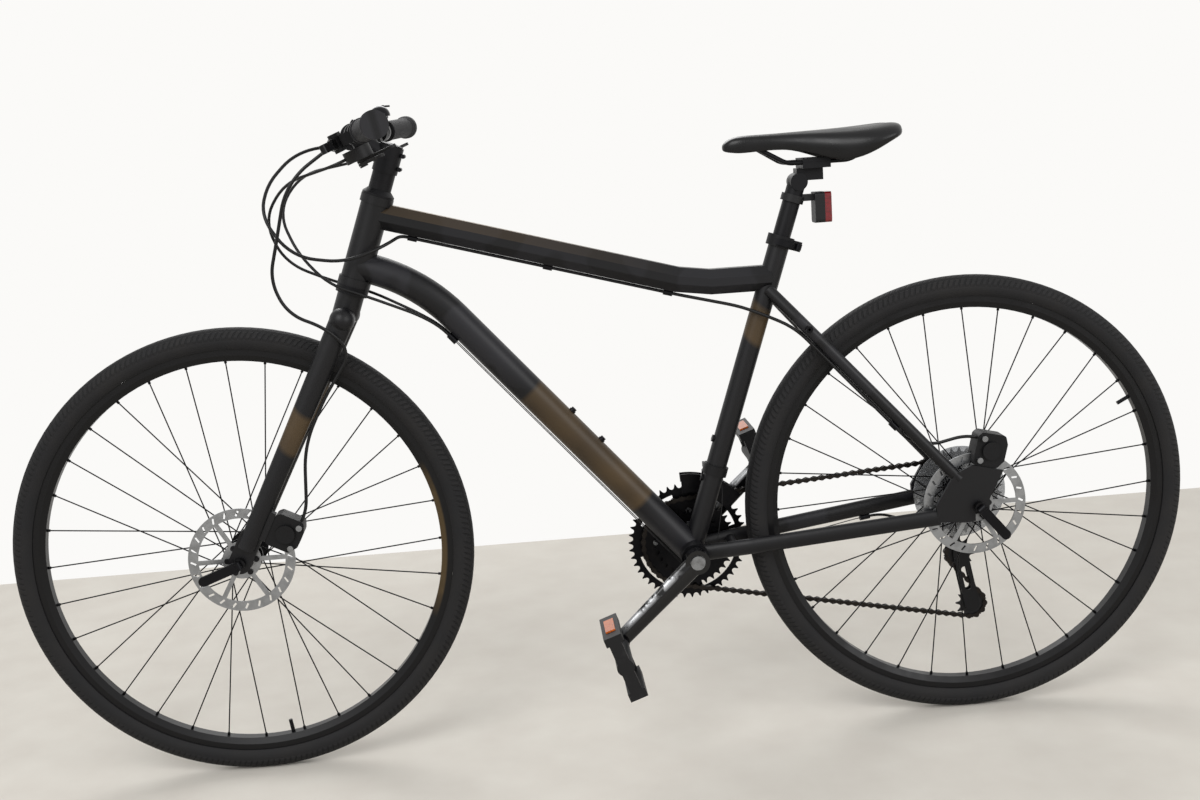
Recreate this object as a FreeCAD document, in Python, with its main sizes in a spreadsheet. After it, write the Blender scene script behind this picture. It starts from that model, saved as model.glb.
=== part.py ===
import FreeCAD, Part
import math
import os
import re
import Sketcher
from FreeCAD import Matrix, Placement, Rotation, Vector

# Every length is in millimetres, every angle in degrees
SIZES = {
    # Layout of the wheels and the frame
    "wheel_radius": 349, "wheelbase": 1123, "chainstay_length": 439, "bracket_drop": 54,
    "seat_angle": 71.4, "seat_tube_length": 506, "head_angle": 69.6, "fork_offset": 50,
    "fork_length": 430, "head_tube_length": 138, "overrun": 4, "fit_gap": 0.1, "running_gap": 0.35,
    # Tyres and rims
    "tyre_width": 38, "tyre_wall": 2.4, "rim_outer_radius": 317, "rim_inner_radius": 299, "rim_width": 24,
    "rim_hook": 2, "rim_well_radius": 308, "rim_bed_width": 15, "valve_radius": 3, "valve_length": 38,
    "front_valve_angle": 262, "rear_valve_angle": 152.5,
    # Spokes and hubs
    "spoke_count": 32, "spoke_crossings": 3, "spoke_radius": 1, "spoke_head_radius": 1.9,
    "spoke_head_height": 1.2, "nipple_radius": 2.1, "nipple_length": 13, "flange_radius": 28.5,
    "flange_hole_radius": 26, "flange_thickness": 3, "spoke_lift": 2, "spoke_tuck": 1.2,
    "barrel_radius": 14, "front_left_flange": 20, "front_right_flange": 32, "rear_left_flange": 29,
    "rear_right_flange": 18, "hub_end_radius": 11, "rotor_boss_radius": 27, "front_locknuts": 100,
    "rear_locknuts": 135, "locknut_radius": 8.5, "locknut_length": 5, "axle_radius": 5, "axle_overlap": 5,
    "skewer_radius": 2.5, "skewer_bore": 2.8, "skewer_end_radius": 9, "skewer_end_length": 10,
    "skewer_nut_length": 12, "protector_radius": 74, "protector_thickness": 1.6, "protector_offset": 22.8,
    # Brake rotors and calipers
    "rotor_radius": 80, "rotor_thickness": 1.8, "rotor_track": 15, "rotor_ring_radius": 29,
    "rotor_bore_radius": 17.5, "rotor_bolt_circle": 22, "rotor_bolt_radius": 2.5,
    "rotor_head_radius": 4.2, "rotor_head_height": 2.2, "rotor_arm_width": 7, "rotor_arms": 6,
    "rotor_slots": 24, "rotor_slot_width": 3, "rotor_slot_length": 9, "rotor_slot_lean": 28,
    "front_rotor_inset": 10.5, "rear_rotor_inset": 15.5, "caliper_depth": 48, "caliper_height": 52,
    "caliper_inner": 12.5, "caliper_outer": 19, "caliper_slot": 2.2, "caliper_window": 83,
    "caliper_corner": 6, "piston_radius": 14, "piston_height": 5, "caliper_bolt_radius": 4.5,
    "caliper_bolt_height": 6, "caliper_bolt_inset": 9, "front_caliper_back": 45.4,
    "front_caliper_up": 68.7, "rear_caliper_reach": 88, "rear_caliper_angle": 103.7, "pad_width": 26,
    "pad_height": 18, "pad_gap": 1.2,
    # Frame tubes
    "tube_wall": 2, "head_tube_radius": 22, "head_rim_radius": 24.5, "head_rim_height": 12,
    "head_bore_radius": 18, "seat_tube_radius": 15.9, "seatpost_radius": 13.6, "shell_radius": 21,
    "shell_width": 68, "shell_bore_radius": 17, "down_tube_radius": 22.7, "down_tube_bend": 270,
    "down_tube_head_rise": 30, "down_tube_head_slope": 16, "down_tube_neck": 87, "top_tube_height": 38,
    "top_tube_width": 38, "top_tube_flat": 17, "top_tube_front_rise": 110, "top_tube_seat_drop": 63,
    "top_tube_crease": 12, "top_tube_kink_share": 0.2, "top_tube_blend": 26, "chainstay_height": 25,
    "chainstay_width": 16, "chainstay_root": 22, "chainstay_waist": 36, "chainstay_waist_reach": 88,
    "chainstay_end_reach": 60, "chainstay_end_drop": 14, "chainstay_bend": 150, "stay_end_spread": 66,
    "seatstay_radius": 9, "seatstay_root": 12, "seatstay_root_drop": 81, "seatstay_waist": 35,
    "seatstay_waist_back": 44, "seatstay_waist_drop": 50, "seatstay_end_reach": 28,
    "seatstay_end_rise": 44, "seatstay_bend": 120, "bridge_radius": 7, "bridge_room": 24,
    "chainstay_bridge_share": -0.08, "dropout_thickness": 6, "dropout_slot_gap": 0.3, "hanger_back": 17,
    "hanger_drop": 27, "hanger_radius": 10, "hanger_bore_radius": 4.6, "dropout_reach": 66,
    "rivnut_radius": 3.5, "cable_spread": 8, "cable_drop": 3, "stop_rise": 500,
    # Fittings on the frame
    "boss_radius": 5.5, "boss_height": 2.6, "bottle_pitch": 64, "bottle_rise": 228,
    "seat_bottle_rise": 117, "bolt_head_radius": 4.4, "bolt_head_height": 3.2, "bottle_hole_radius": 2.1,
    "bottle_hole_depth": 9, "guide_length": 14, "guide_radius": 4.6, "guide_drop": 3.4,
    "hose_radius": 2.5, "housing_radius": 2.2, "wire_radius": 0.7, "stop_radius": 4.4, "stop_length": 16,
    "rack_boss_length": 7, "approach": 18, "crossing_gap": 4.5,
    # Headset, stem and bar
    "steerer_radius": 14.3, "steerer_bore": 11.8, "cup_radius": 24, "lower_cup_height": 13,
    "upper_cup_height": 10, "upper_cup_top_radius": 17.5, "bearing_height": 8, "spacer_radius": 17,
    "spacer_height": 13, "stem_clamp_height": 40, "stem_clamp_radius": 19, "stem_length": 58,
    "stem_rise": 18, "stem_body_radius": 15, "bar_clamp_radius": 19, "bar_clamp_width": 44,
    "bar_centre_radius": 12.7, "bar_radius": 11.1, "bar_wall": 2.2, "bar_flat_half": 58, "bar_half": 312,
    "bar_sweep": 56, "bar_lift": 11, "bar_bend": 60, "bar_shoulder": 10, "faceplate_gap": 0.6,
    "cap_height": 4, "cap_bolt_radius": 4.5, "stem_bolt_radius": 3.2, "stem_bolt_spread": 15,
    "stem_bolt_reach": 16.4,
    # Fork
    "crown_rise": 394, "crown_half": 44, "race_radius": 20, "crown_radius": 17, "shoulder_radius": 18.6,
    "leg_top_depth": 18, "leg_top_width": 14, "leg_foot_depth": 13, "leg_foot_width": 9.5,
    "leg_foot_spread": 58, "leg_foot_rise": 24, "fork_end_thickness": 8, "fork_end_width": 30,
    "fork_end_depth": 17, "caliper_tab_start": 6, "caliper_tab_height": 46, "caliper_tab_inner": 48,
    "caliper_tab_outer": 60,
    # Grips and controls on the bar
    "grip_length": 126, "grip_radius": 15.5, "grip_end_radius": 18.5, "grip_end_length": 9,
    "grip_ring_radius": 17, "grip_ring_length": 8, "grip_cap": 3, "control_tilt": 22,
    "brake_clamp_at": 158, "clamp_width": 12, "clamp_radius": 16, "reservoir_radius": 10.5,
    "reservoir_length": 66, "reservoir_out": 30, "pivot_out": 36, "pivot_at": 148, "pivot_radius": 7,
    "pivot_pin_radius": 2.5, "pivot_fork_height": 26, "pivot_fork_leaf": 5, "lever_height": 12,
    "lever_root_out": 56, "lever_tip_out": 60, "lever_root_at": 118, "lever_tip_at": 22, "lever_width": 9,
    "lever_hook": 9, "pod_at": 196, "pod_out": 10, "pod_drop": 17, "pod_radius": 20, "pod_height": 17,
    "pod_pin_radius": 4, "thumb_thickness": 4, "thumb_length": 50, "thumb_width": 13, "thumb_angle": 148,
    "release_length": 42, "release_angle": 120, "layer_gap": 0.4, "bell_at": 140, "bell_radius": 16.5,
    "bell_wall": 1.4, "bell_lift": 24, "bell_post_radius": 3, "bell_base_radius": 9,
    "bell_base_height": 4, "striker_at": 21, "striker_radius": 2, "striker_rise": 17, "striker_reach": 11,
    "striker_pin_radius": 1.6, "striker_eye_radius": 3.6, "striker_ear": 3,
    # Crankset, chain and pedals
    "chain_pitch": 12.7, "roller_radius": 3.8, "roller_seat": 4, "tooth_height": 3.2, "tooth_tip": 1.3,
    "cog_thickness": 1.6, "ring_thickness": 1.5, "outer_teeth": 46, "middle_teeth": 36, "inner_teeth": 26,
    "chain_line": 47.5, "ring_spacing": 7.2, "ring_bolt_circle": 52, "ring_bolt_radius": 4.5,
    "inner_bolt_circle": 32, "ring_land": 7, "ring_window_inner": 62, "ring_window_outer": 80,
    "ring_window_angle": 52, "spindle_radius": 12, "crank_length": 170, "crank_angle": -41.5,
    "crank_root": 45.5, "crank_face": 70, "crank_end_inner": 68, "crank_end_face": 82,
    "crank_boss_radius": 19, "crank_end_radius": 15, "crank_root_depth": 16, "crank_tip_depth": 13,
    "crank_arm_thickness": 14, "crank_bolt_radius": 11, "crank_bolt_height": 2.5, "spider_hub_radius": 38,
    "spider_end_radius": 8, "cup_outer_radius": 21.5, "cup_outer_length": 10, "pedal_axle_radius": 6,
    "pedal_inner": 96, "pedal_width": 92, "pedal_length": 104, "pedal_height": 27,
    "pedal_barrel_radius": 13, "pedal_bar": 13, "pedal_rib": 9, "pedal_angle": 70.6,
    "reflector_width": 48, "reflector_height": 15, "reflector_depth": 2.5, "pedal_collar": 9,
    "plate_radius": 4.1, "plate_thickness": 0.9, "inner_plate_gap": 3, "pin_radius": 1.8,
    "pin_length": 6.7, "bush_gap": 0.08,
    # Cassette
    "cog_first": 63, "cog_spacing": 4.35, "freehub_radius": 17, "cog_spacer_radius": 21,
    "lockring_radius": 15, "lockring_height": 2.4,
    # Derailleurs
    "pulley_teeth": 11, "guide_back": 2, "guide_drop_below": 105, "tension_back": 20, "tension_drop": 192,
    "pulley_thickness": 2.2, "cage_plate": 1.8, "cage_gap": 5, "cage_half_width": 12, "cage_window": 5,
    "cage_pin_radius": 2.8, "knuckle_radius": 12, "knuckle_outer": 57, "pulley_hub_radius": 8,
    "knuckle_pin_radius": 4, "link_upper_across": 80, "link_lower_across": 66, "link_upper_ahead": 4,
    "link_upper_drop": 24, "cheek": 3, "cheek_radius": 7, "link_width": 16, "link_thickness": 7,
    "link_pin_radius": 3, "link_eye_radius": 6, "bracket_radius": 13, "bracket_length": 15,
    "knuckle_eye_gap": 0.4, "band_radius": 19.5, "band_height": 15, "band_rise": 134, "cage_clear": 3,
    "cage_depth": 15, "cage_inner_depth": 30, "cage_start": 86, "cage_end": 140,
    "cage_inner_across": 41.2, "cage_outer_across": 53.2, "cage_lug_depth": 14, "front_link_start": 24,
    "front_link_across": 12, "front_link_drop": 16, "front_link_rise": 4, "front_base_depth": 7,
    "front_link_width": 26, "front_link_radius": 4, "front_pin_radius": 1.8,
    # Seat
    "collar_radius": 20.5, "collar_height": 15, "collar_lip": 2, "collar_ear": 14,
    "collar_ear_length": 12, "collar_slit": 3, "seat_lever_inner": 23, "seat_lever_outer": 27,
    "seat_lever_height": 9, "seat_lever_arc": 92, "seat_pivot_radius": 5, "seat_bolt_radius": 2.5,
    "seat_pivot_back": 27, "post_length": 330, "post_exposed": 86, "post_wall": 2.4,
    "post_head_radius": 13, "post_head_width": 34, "cradle_length": 42, "cradle_width": 54,
    "cradle_height": 9, "clamp_plate_height": 6, "cradle_back": 25.3, "post_neck_front": 28,
    "post_neck_back": 12, "post_neck_height": 18, "post_neck_width": 26, "clamp_bolt_radius": 3,
    "clamp_bolt_length": 16, "rail_radius": 3.5, "rail_lift": 28.4, "rail_spread": 22, "rail_ahead": 18.7,
    "rail_back": 77.3, "rail_nose_ahead": 64.7, "rail_nose_lift": 55.9, "rail_nose_spread": 9,
    "rail_tail_back": 119.3, "rail_tail_lift": 57.9, "rail_tail_spread": 40, "rail_bend": 30,
    "saddle_nose_ahead": 112.7, "saddle_length": 268, "saddle_half_width": 70, "saddle_height": 52.5,
    "saddle_skin": 2.6, "saddle_pad": 22, "light_drop": 26, "light_back": 23.3, "light_below": 63.1,
    "light_width": 30, "light_height": 46, "light_depth": 15, "lens_depth": 10, "light_band_radius": 17.5,
    "light_band_height": 11, "light_arm_width": 12, "light_arm_height": 10, "light_corner": 5,
    "cam_radius": 4.6, "cam_gap": 0.3, "cam_length": 12, "paddle_length": 56, "paddle_width": 15,
    "paddle_thickness": 5, "front_paddle_angle": -20, "rear_paddle_angle": 230,
}

doc = FreeCAD.newDocument("hybrid_bike")
sheet = doc.addObject("Spreadsheet::Sheet", "sizes")
for row, (alias, number) in enumerate(SIZES.items(), 1):
    sheet.set(f"A{row}", alias)
    sheet.set(f"B{row}", str(number))
    sheet.setAlias(f"B{row}", alias)
doc.recompute()


class SheetValues:
    """Reads a driving size back from the sheet by its name."""

    def __getattr__(self, name):
        return float(sheet.get(name))


size = SheetValues()
ACROSS = Vector(0, 1, 0)
UP = Vector(0, 0, 1)
AHEAD = Vector(1, 0, 0)
HALF_TURN = 180
FULL_TURN = 360


def turned_vector(angle):
    """Unit vector in the side view, counted from ahead towards up."""
    return Vector(math.cos(math.radians(angle)), 0, math.sin(math.radians(angle)))


def frame(origin, ahead, across, up):
    """Placement whose own axes are the three given directions."""
    rows = [(ahead[i], across[i], up[i], origin[i]) for i in range(3)]
    return Placement(Matrix(*[cell for line in rows for cell in line], 0, 0, 0, 1))


def side_frame(origin, angle):
    """Placement turned in the side view so that its own ahead points along the angle."""
    ahead = turned_vector(angle)
    return frame(origin, ahead, ACROSS, ahead.cross(ACROSS))


# Main points of the bike
REAR_AXLE = Vector(-size.wheelbase / 2, 0, size.wheel_radius)
FRONT_AXLE = Vector(size.wheelbase / 2, 0, size.wheel_radius)
BRACKET = REAR_AXLE + Vector(math.sqrt(size.chainstay_length ** 2 - size.bracket_drop ** 2), 0,
                             -size.bracket_drop)
STEER_UP = turned_vector(HALF_TURN - size.head_angle)
STEER_AHEAD = ACROSS.cross(STEER_UP)
STEER_FOOT = FRONT_AXLE - STEER_AHEAD * size.fork_offset
STEERING = frame(STEER_FOOT, STEER_AHEAD, ACROSS, STEER_UP)
SEAT_UP = turned_vector(HALF_TURN - size.seat_angle)
SEATING = frame(BRACKET, ACROSS.cross(SEAT_UP), ACROSS, SEAT_UP)
POST_TOP = SEATING.multVec(UP * (size.seat_tube_length + size.post_exposed))
RAIL_LEVEL = POST_TOP.z + size.rail_lift
AXLE_TURN = Rotation(AHEAD, -HALF_TURN / 2)
FRONT_ROTOR = size.front_locknuts / 2 - size.front_rotor_inset
REAR_ROTOR = size.rear_locknuts / 2 - size.rear_rotor_inset
HEAD_LOW = size.fork_length + size.lower_cup_height + size.fit_gap
HEAD_HIGH = HEAD_LOW + size.head_tube_length
SPACERS_LOW = HEAD_HIGH + size.upper_cup_height + size.running_gap
STEM_LOW = SPACERS_LOW + 2 * size.spacer_height
STEM_HIGH = STEM_LOW + size.stem_clamp_height
STEM_AXIS = Rotation(ACROSS, -size.stem_rise).multVec(AHEAD)
BAR_LOCAL = Vector(0, 0, (STEM_LOW + STEM_HIGH) / 2) + STEM_AXIS * size.stem_length
BAR_CENTRE = STEERING.multVec(BAR_LOCAL)


# Small solids used by many pieces
def rod(start, end, radius):
    return Part.makeCylinder(radius, start.distanceToPoint(end), start, end - start)


def tube(start, end, outer, inner):
    return rod(start, end, outer).cut(rod(start, end, inner))


def block(low, high):
    return Part.makeBox(high.x - low.x, high.y - low.y, high.z - low.z, low)


def placed(shape, placement):
    moved = shape.copy()
    moved.Placement = placement.multiply(moved.Placement)
    return moved


def mirrored(shape):
    return shape.mirror(Vector(), ACROSS)


def fused(first, *others):
    return first.fuse(list(others)).removeSplitter()


def bent_wire(points, bend):
    """Straight runs joined by tangent arcs, each as large as the bend or its runs allow."""
    edges = []
    start = points[0]
    for before, corner, after in zip(points, points[1:], points[2:]):
        back = (before - corner).normalize()
        forth = (after - corner).normalize()
        half_turn = (math.pi - back.getAngle(forth)) / 2
        room_before = before.distanceToPoint(corner) * (1 if before is points[0] else ROOM_SHARE)
        room_after = corner.distanceToPoint(after) * (1 if after is points[-1] else ROOM_SHARE)
        reach = min(bend * math.tan(half_turn), room_before * RUN_SHARE, room_after * RUN_SHARE)
        if half_turn < STRAIGHT_TURN:
            edges.append(Part.LineSegment(start, corner).toShape())
            start = corner
            continue
        radius = reach / math.tan(half_turn)
        inward = (back + forth).normalize()
        middle = corner + inward * (radius / math.cos(half_turn) - radius)
        enter, leave = corner + back * reach, corner + forth * reach
        edges.append(Part.LineSegment(start, enter).toShape())
        edges.append(Part.Arc(enter, middle, leave).toShape())
        start = leave
    edges.append(Part.LineSegment(start, points[-1]).toShape())
    return Part.Wire(edges)


ROOM_SHARE = 0.5
RUN_SHARE = 0.96
STRAIGHT_TURN = 0.002


def swept(points, bend, radius):
    """Round rod along a bent route."""
    path = bent_wire(points, bend)
    start = points[0]
    section = Part.Wire(Part.makeCircle(radius, start, points[1] - start))
    return path.makePipeShell([section], True, False)


def swept_oval(points, bend, half_width, half_height):
    """Oval bar along a bent route, the oval's height kept upright."""
    path = bent_wire(points, bend)
    along = (points[1] - points[0]).normalize()
    side = UP.cross(along).normalize()
    rise = along.cross(side)
    wide, tall = (side, rise) if half_width >= half_height else (rise, side)
    ellipse = Part.Ellipse(points[0] + wide * max(half_width, half_height),
                           points[0] + tall * min(half_width, half_height), points[0])
    return path.makePipeShell([Part.Wire(ellipse.toShape())], True, False)


def oval_wire(centre, first, second):
    """Closed oval about a centre; the two vectors are its half axes."""
    if math.isclose(first.Length, second.Length):
        return Part.Wire(Part.makeCircle(first.Length, centre, first.cross(second)))
    longer, shorter = (first, second) if first.Length >= second.Length else (second, first)
    return Part.Wire(Part.Ellipse(centre + longer, centre + shorter, centre).toShape())


def outline_plate(points, thickness):
    """Flat plate between straight edges, drawn in the side view and thick across."""
    corners = [Vector(x, 0, z) for x, z in points]
    face = Part.Face(Part.makePolygon(corners + corners[:1]))
    return face.extrude(ACROSS * thickness)


def stadium(start, end, radius, low, high, normal=ACROSS):
    """Straight bar with round ends between two points, thick along its normal."""
    along = (end - start).normalize()
    side = along.cross(normal) * radius
    edges = [
        Part.LineSegment(start + side, end + side).toShape(),
        Part.Arc(end + side, end + along * radius, end - side).toShape(),
        Part.LineSegment(end - side, start - side).toShape(),
        Part.Arc(start - side, start - along * radius, start + side).toShape(),
    ]
    bar = Part.Face(Part.Wire(edges)).extrude(normal * (high - low))
    bar.translate(normal * low)
    return bar


# Pieces of the document
def cell(expression):
    """Points every size name in an expression at the sheet."""
    return re.sub(r"[a-z]\w*", lambda match: f"sizes.{match.group(0)}", expression)


def free_piece(label, *shapes):
    piece = doc.addObject("Part::Feature", label)
    piece.Shape = shapes[0] if len(shapes) == 1 else Part.makeCompound(list(shapes))
    return piece


def round_piece(label, radius, height, placement):
    """Round bar bound to the sheet, standing on its own origin."""
    piece = doc.addObject("Part::Cylinder", label)
    piece.setExpression("Radius", cell(radius))
    piece.setExpression("Height", cell(height))
    piece.Placement = placement
    return piece


def cut_piece(label, base, tool):
    piece = doc.addObject("Part::Cut", label)
    piece.Base = base
    piece.Tool = tool
    return piece


def group_piece(label, *pieces):
    piece = doc.addObject("Part::Compound", label)
    piece.Links = list(pieces)
    return piece


def own_plane(body, role):
    return [plane for plane in body.Origin.OriginFeatures if plane.Role == role][0]


def turned_piece(label, outline, placement):
    """Turned body: the outline holds radius and height as expressions of the sheet."""
    body = doc.addObject("PartDesign::Body", label)
    sketch = body.newObject("Sketcher::SketchObject", f"{label}_outline")
    sketch.AttachmentSupport = [(own_plane(body, "XZ_Plane"), "")]
    sketch.MapMode = "FlatFace"
    corners = [Vector(*[float(sheet.evalExpression(text)) for text in pair], 0) for pair in outline]
    count = len(corners)
    for index, corner in enumerate(corners):
        sketch.addGeometry(Part.LineSegment(corner, corners[(index + 1) % count]))
    for index in range(count):
        sketch.addConstraint(Sketcher.Constraint("Coincident", index, 2, (index + 1) % count, 1))
    for index, pair in enumerate(outline):
        axes = (("DistanceX", pair[0], corners[index].x, -2), ("DistanceY", pair[1], corners[index].y, -1))
        for kind, text, number, axis in axes:
            if number == 0:
                sketch.addConstraint(Sketcher.Constraint("PointOnObject", index, 1, axis))
            else:
                rule = Sketcher.Constraint(kind, -1, 1, index, 1, number)
                sketch.setExpression(f"Constraints[{sketch.addConstraint(rule)}]", cell(text))
    turning = body.newObject("PartDesign::Revolution", f"{label}_turning")
    turning.Profile = sketch
    turning.ReferenceAxis = (sketch, ["V_Axis"])
    turning.Angle = FULL_TURN
    sketch.Visibility = False
    body.Placement = placement
    return body


def ring_piece(label, outer, inner, height, placement):
    """Plain ring or sleeve bound to the sheet."""
    outline = [(inner, "0"), (outer, "0"), (outer, height), (inner, height)]
    return turned_piece(label, outline, placement)


def axle_placement(axle, across):
    """Own up of a turned piece laid along the axle, starting at a distance across."""
    return Placement(axle + ACROSS * across, AXLE_TURN)


# Wheels
def spoke_lines(axle, left, right):
    """Start at the flange, end in the rim and side for each spoke of a wheel."""
    step = 2 * FULL_TURN / size.spoke_count
    swing = size.spoke_crossings * step
    half = size.flange_thickness / 2
    lines = []
    for offset, across, side in ((0, left, 1), (step / 2, -right, -1)):
        for index in range(int(size.spoke_count / 2)):
            angle = offset + index * step
            leading = index % 2 == 0
            lift = half + size.spoke_lift if leading else -half - size.spoke_tuck
            rim_angle = angle + swing if leading else angle - swing
            start = axle + turned_vector(angle) * size.flange_hole_radius + ACROSS * (across + side * lift)
            end = axle + turned_vector(rim_angle) * size.rim_well_radius
            lines.append((start, end, ACROSS * (-side if leading else side)))
    return lines


def spoke_head(start, through, left, right):
    """Both ends of a spoke's head on the far side of its flange."""
    lift = size.spoke_lift if abs(start.y) > (left if start.y > 0 else right) else size.spoke_tuck
    low = start + through * (lift + size.flange_thickness + size.fit_gap)
    return low, low + through * size.spoke_head_height


def spokes_and_nipples(axle, left, right):
    shapes = []
    for start, end, through in spoke_lines(axle, left, right):
        along = (end - start).normalize()
        pin_end, head_end = spoke_head(start, through, left, right)
        wire = rod(start, end - along * size.nipple_radius, size.spoke_radius)
        pin = rod(start, head_end, size.spoke_radius)
        elbow = Part.makeSphere(size.spoke_radius, start)
        head = rod(pin_end, head_end, size.spoke_head_radius)
        shapes.append(wire.fuse([elbow, pin, head]))
        low = end - along * size.nipple_length
        shapes.append(tube(low, end, size.nipple_radius, size.spoke_radius + size.bush_gap))
    return shapes


def rim(label, axle, left, right, valve_angle):
    half, hook, bed = "rim_width / 2", "rim_hook", "rim_bed_width / 2"
    outline = [
        ("rim_inner_radius", f"{half} - {bed}"), ("rim_inner_radius", f"{half} + {bed}"),
        ("rim_well_radius", "rim_width"), ("rim_outer_radius", "rim_width"),
        ("rim_outer_radius", f"rim_width - {hook}"), ("rim_well_radius", f"rim_width - {hook}"),
        ("rim_well_radius", hook), ("rim_outer_radius", hook), ("rim_outer_radius", "0"),
        ("rim_well_radius", "0"),
    ]
    band = turned_piece(f"{label}_band", outline, axle_placement(axle, -size.rim_width / 2))
    drills = []
    for start, end, through in spoke_lines(axle, left, right):
        along = (end - start).normalize()
        reach = size.nipple_length + size.overrun
        drills.append(rod(end - along * reach, end + along * size.overrun,
                          size.nipple_radius + size.running_gap))
    out = turned_vector(valve_angle)
    drills.append(rod(axle + out * (size.rim_inner_radius - size.overrun),
                      axle + out * (size.rim_well_radius + size.overrun), size.valve_radius + size.running_gap))
    return cut_piece(label, band, free_piece(f"{label}_drills", *drills))


def tyre(label, axle, valve_angle):
    casing = doc.addObject("Part::Torus", f"{label}_outside")
    hollow = doc.addObject("Part::Torus", f"{label}_inside")
    for ring, section in ((casing, "tyre_width / 2"), (hollow, "tyre_width / 2 - tyre_wall")):
        ring.setExpression("Radius1", cell("wheel_radius - tyre_width / 2"))
        ring.setExpression("Radius2", cell(section))
        ring.Placement = axle_placement(axle, 0)
    plug = round_piece(f"{label}_plug", "rim_outer_radius + fit_gap", "tyre_width + 2 * overrun",
                       axle_placement(axle, -size.tyre_width / 2 - size.overrun))
    shell = cut_piece(f"{label}_shell", casing, hollow)
    cover = cut_piece(f"{label}_cover", shell, plug)
    out = turned_vector(valve_angle)
    outer = size.rim_outer_radius
    valve = free_piece(f"{label}_valve", rod(axle + out * outer, axle + out * (outer - size.valve_length),
                                             size.valve_radius))
    return group_piece(label, cover, valve)


def hub(label, axle, right_end, across, left, right, inset):
    """Hub shell with two drilled flanges and a boss for the rotor, turned about the axle."""
    half = "flange_thickness / 2"
    bore = "axle_radius + running_gap"
    face = f"{right_end} + {across} / 2 - {inset} - rotor_thickness / 2 - fit_gap"
    end = f"{right_end} + {across} / 2 - locknut_length"
    outline = [
        (bore, "0"), ("hub_end_radius", "0"), ("hub_end_radius", f"{right_end} - {right} - {half}"),
        ("flange_radius", f"{right_end} - {right} - {half}"),
        ("flange_radius", f"{right_end} - {right} + {half}"),
        ("barrel_radius", f"{right_end} - {right} + {half} + spoke_head_radius"),
        ("barrel_radius", f"{right_end} + {left} - {half} - spoke_head_radius"),
        ("flange_radius", f"{right_end} + {left} - {half}"),
        ("flange_radius", f"{right_end} + {left} + {half}"),
        ("hub_end_radius", f"{right_end} + {left} + {half}"), ("hub_end_radius", f"{face} - rotor_head_radius"),
        ("rotor_boss_radius", f"{face} - rotor_head_radius"), ("rotor_boss_radius", face),
        ("rotor_bore_radius - fit_gap", face), ("rotor_bore_radius - fit_gap", f"{face} + rotor_thickness"),
        ("hub_end_radius", f"{face} + rotor_thickness"), ("hub_end_radius", end), (bore, end),
    ]
    start = -float(sheet.evalExpression(right_end))
    shell = turned_piece(f"{label}_shell", outline, axle_placement(axle, start))
    left_at, right_at = getattr(size, left), getattr(size, right)
    drills = []
    for line_start, end_point, through in spoke_lines(axle, left_at, right_at):
        flange = left_at if line_start.y > 0 else -right_at
        hole = Vector(line_start.x, flange, line_start.z)
        drills.append(rod(hole - ACROSS * size.flange_thickness, hole + ACROSS * size.flange_thickness,
                          size.spoke_radius + size.fit_gap))
        low, high = spoke_head(line_start, through, left_at, right_at)
        drills.append(rod(low, high + through * size.fit_gap, size.spoke_head_radius + size.fit_gap))
    return cut_piece(label, shell, free_piece(f"{label}_drills", *drills))


def ring_sector(inner, outer, middle, half_inner, half_outer):
    """Closed outline between two radii, drawn in the side view about the origin."""
    low, high = middle - half_inner, middle + half_inner
    wide_low, wide_high = middle - half_outer, middle + half_outer
    edges = [
        Part.Arc(turned_vector(wide_low) * outer, turned_vector(middle) * outer,
                 turned_vector(wide_high) * outer).toShape(),
        Part.LineSegment(turned_vector(wide_high) * outer, turned_vector(high) * inner).toShape(),
        Part.Arc(turned_vector(high) * inner, turned_vector(middle) * inner,
                 turned_vector(low) * inner).toShape(),
        Part.LineSegment(turned_vector(low) * inner, turned_vector(wide_low) * outer).toShape(),
    ]
    return Part.Wire(edges)


def side_circle(centre, radius):
    return Part.Wire(Part.makeCircle(radius, centre, ACROSS))


def pierced_plate(outline, holes, thickness):
    """Plate with openings, drawn in the side view and centred across."""
    plate = Part.Face([outline] + holes, "Part::FaceMakerBullseye").extrude(ACROSS * thickness)
    plate.translate(ACROSS * (-thickness / 2))
    return plate


def rotor(label, axle, across):
    holes = [side_circle(Vector(), size.rotor_bore_radius)]
    inner, outer = size.rotor_ring_radius, size.rotor_radius - size.rotor_track
    step = FULL_TURN / size.rotor_arms
    bolts = []
    for index in range(int(size.rotor_arms)):
        middle = step * (index + 1 / 2)
        halves = [step / 2 - math.degrees(size.rotor_arm_width / 2 / radius) for radius in (inner, outer)]
        holes.append(ring_sector(inner, outer, middle, *halves))
        centre = turned_vector(step * index) * size.rotor_bolt_circle
        holes.append(side_circle(centre, size.rotor_bolt_radius + size.fit_gap))
        seat = centre + ACROSS * (size.rotor_thickness / 2)
        shank = rod(centre - ACROSS * (size.rotor_thickness / 2), seat, size.rotor_bolt_radius)
        bolts.append(shank.fuse(rod(seat, seat + ACROSS * size.rotor_head_height, size.rotor_head_radius)))
    for index in range(int(size.rotor_slots)):
        angle = FULL_TURN / size.rotor_slots * index
        centre = turned_vector(angle) * (size.rotor_radius - size.rotor_track / 2)
        along = turned_vector(angle + size.rotor_slot_lean) * (size.rotor_slot_length / 2)
        side = along.cross(ACROSS).normalize() * (size.rotor_slot_width / 2)
        corners = [centre + along + side, centre + along - side, centre - along - side, centre - along + side]
        holes.append(Part.makePolygon(corners + corners[:1]))
    disc = pierced_plate(side_circle(Vector(), size.rotor_radius), holes, size.rotor_thickness)
    spot = Placement(axle + ACROSS * across, Rotation())
    return free_piece(label, *[placed(shape, spot) for shape in [disc] + bolts])


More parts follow.
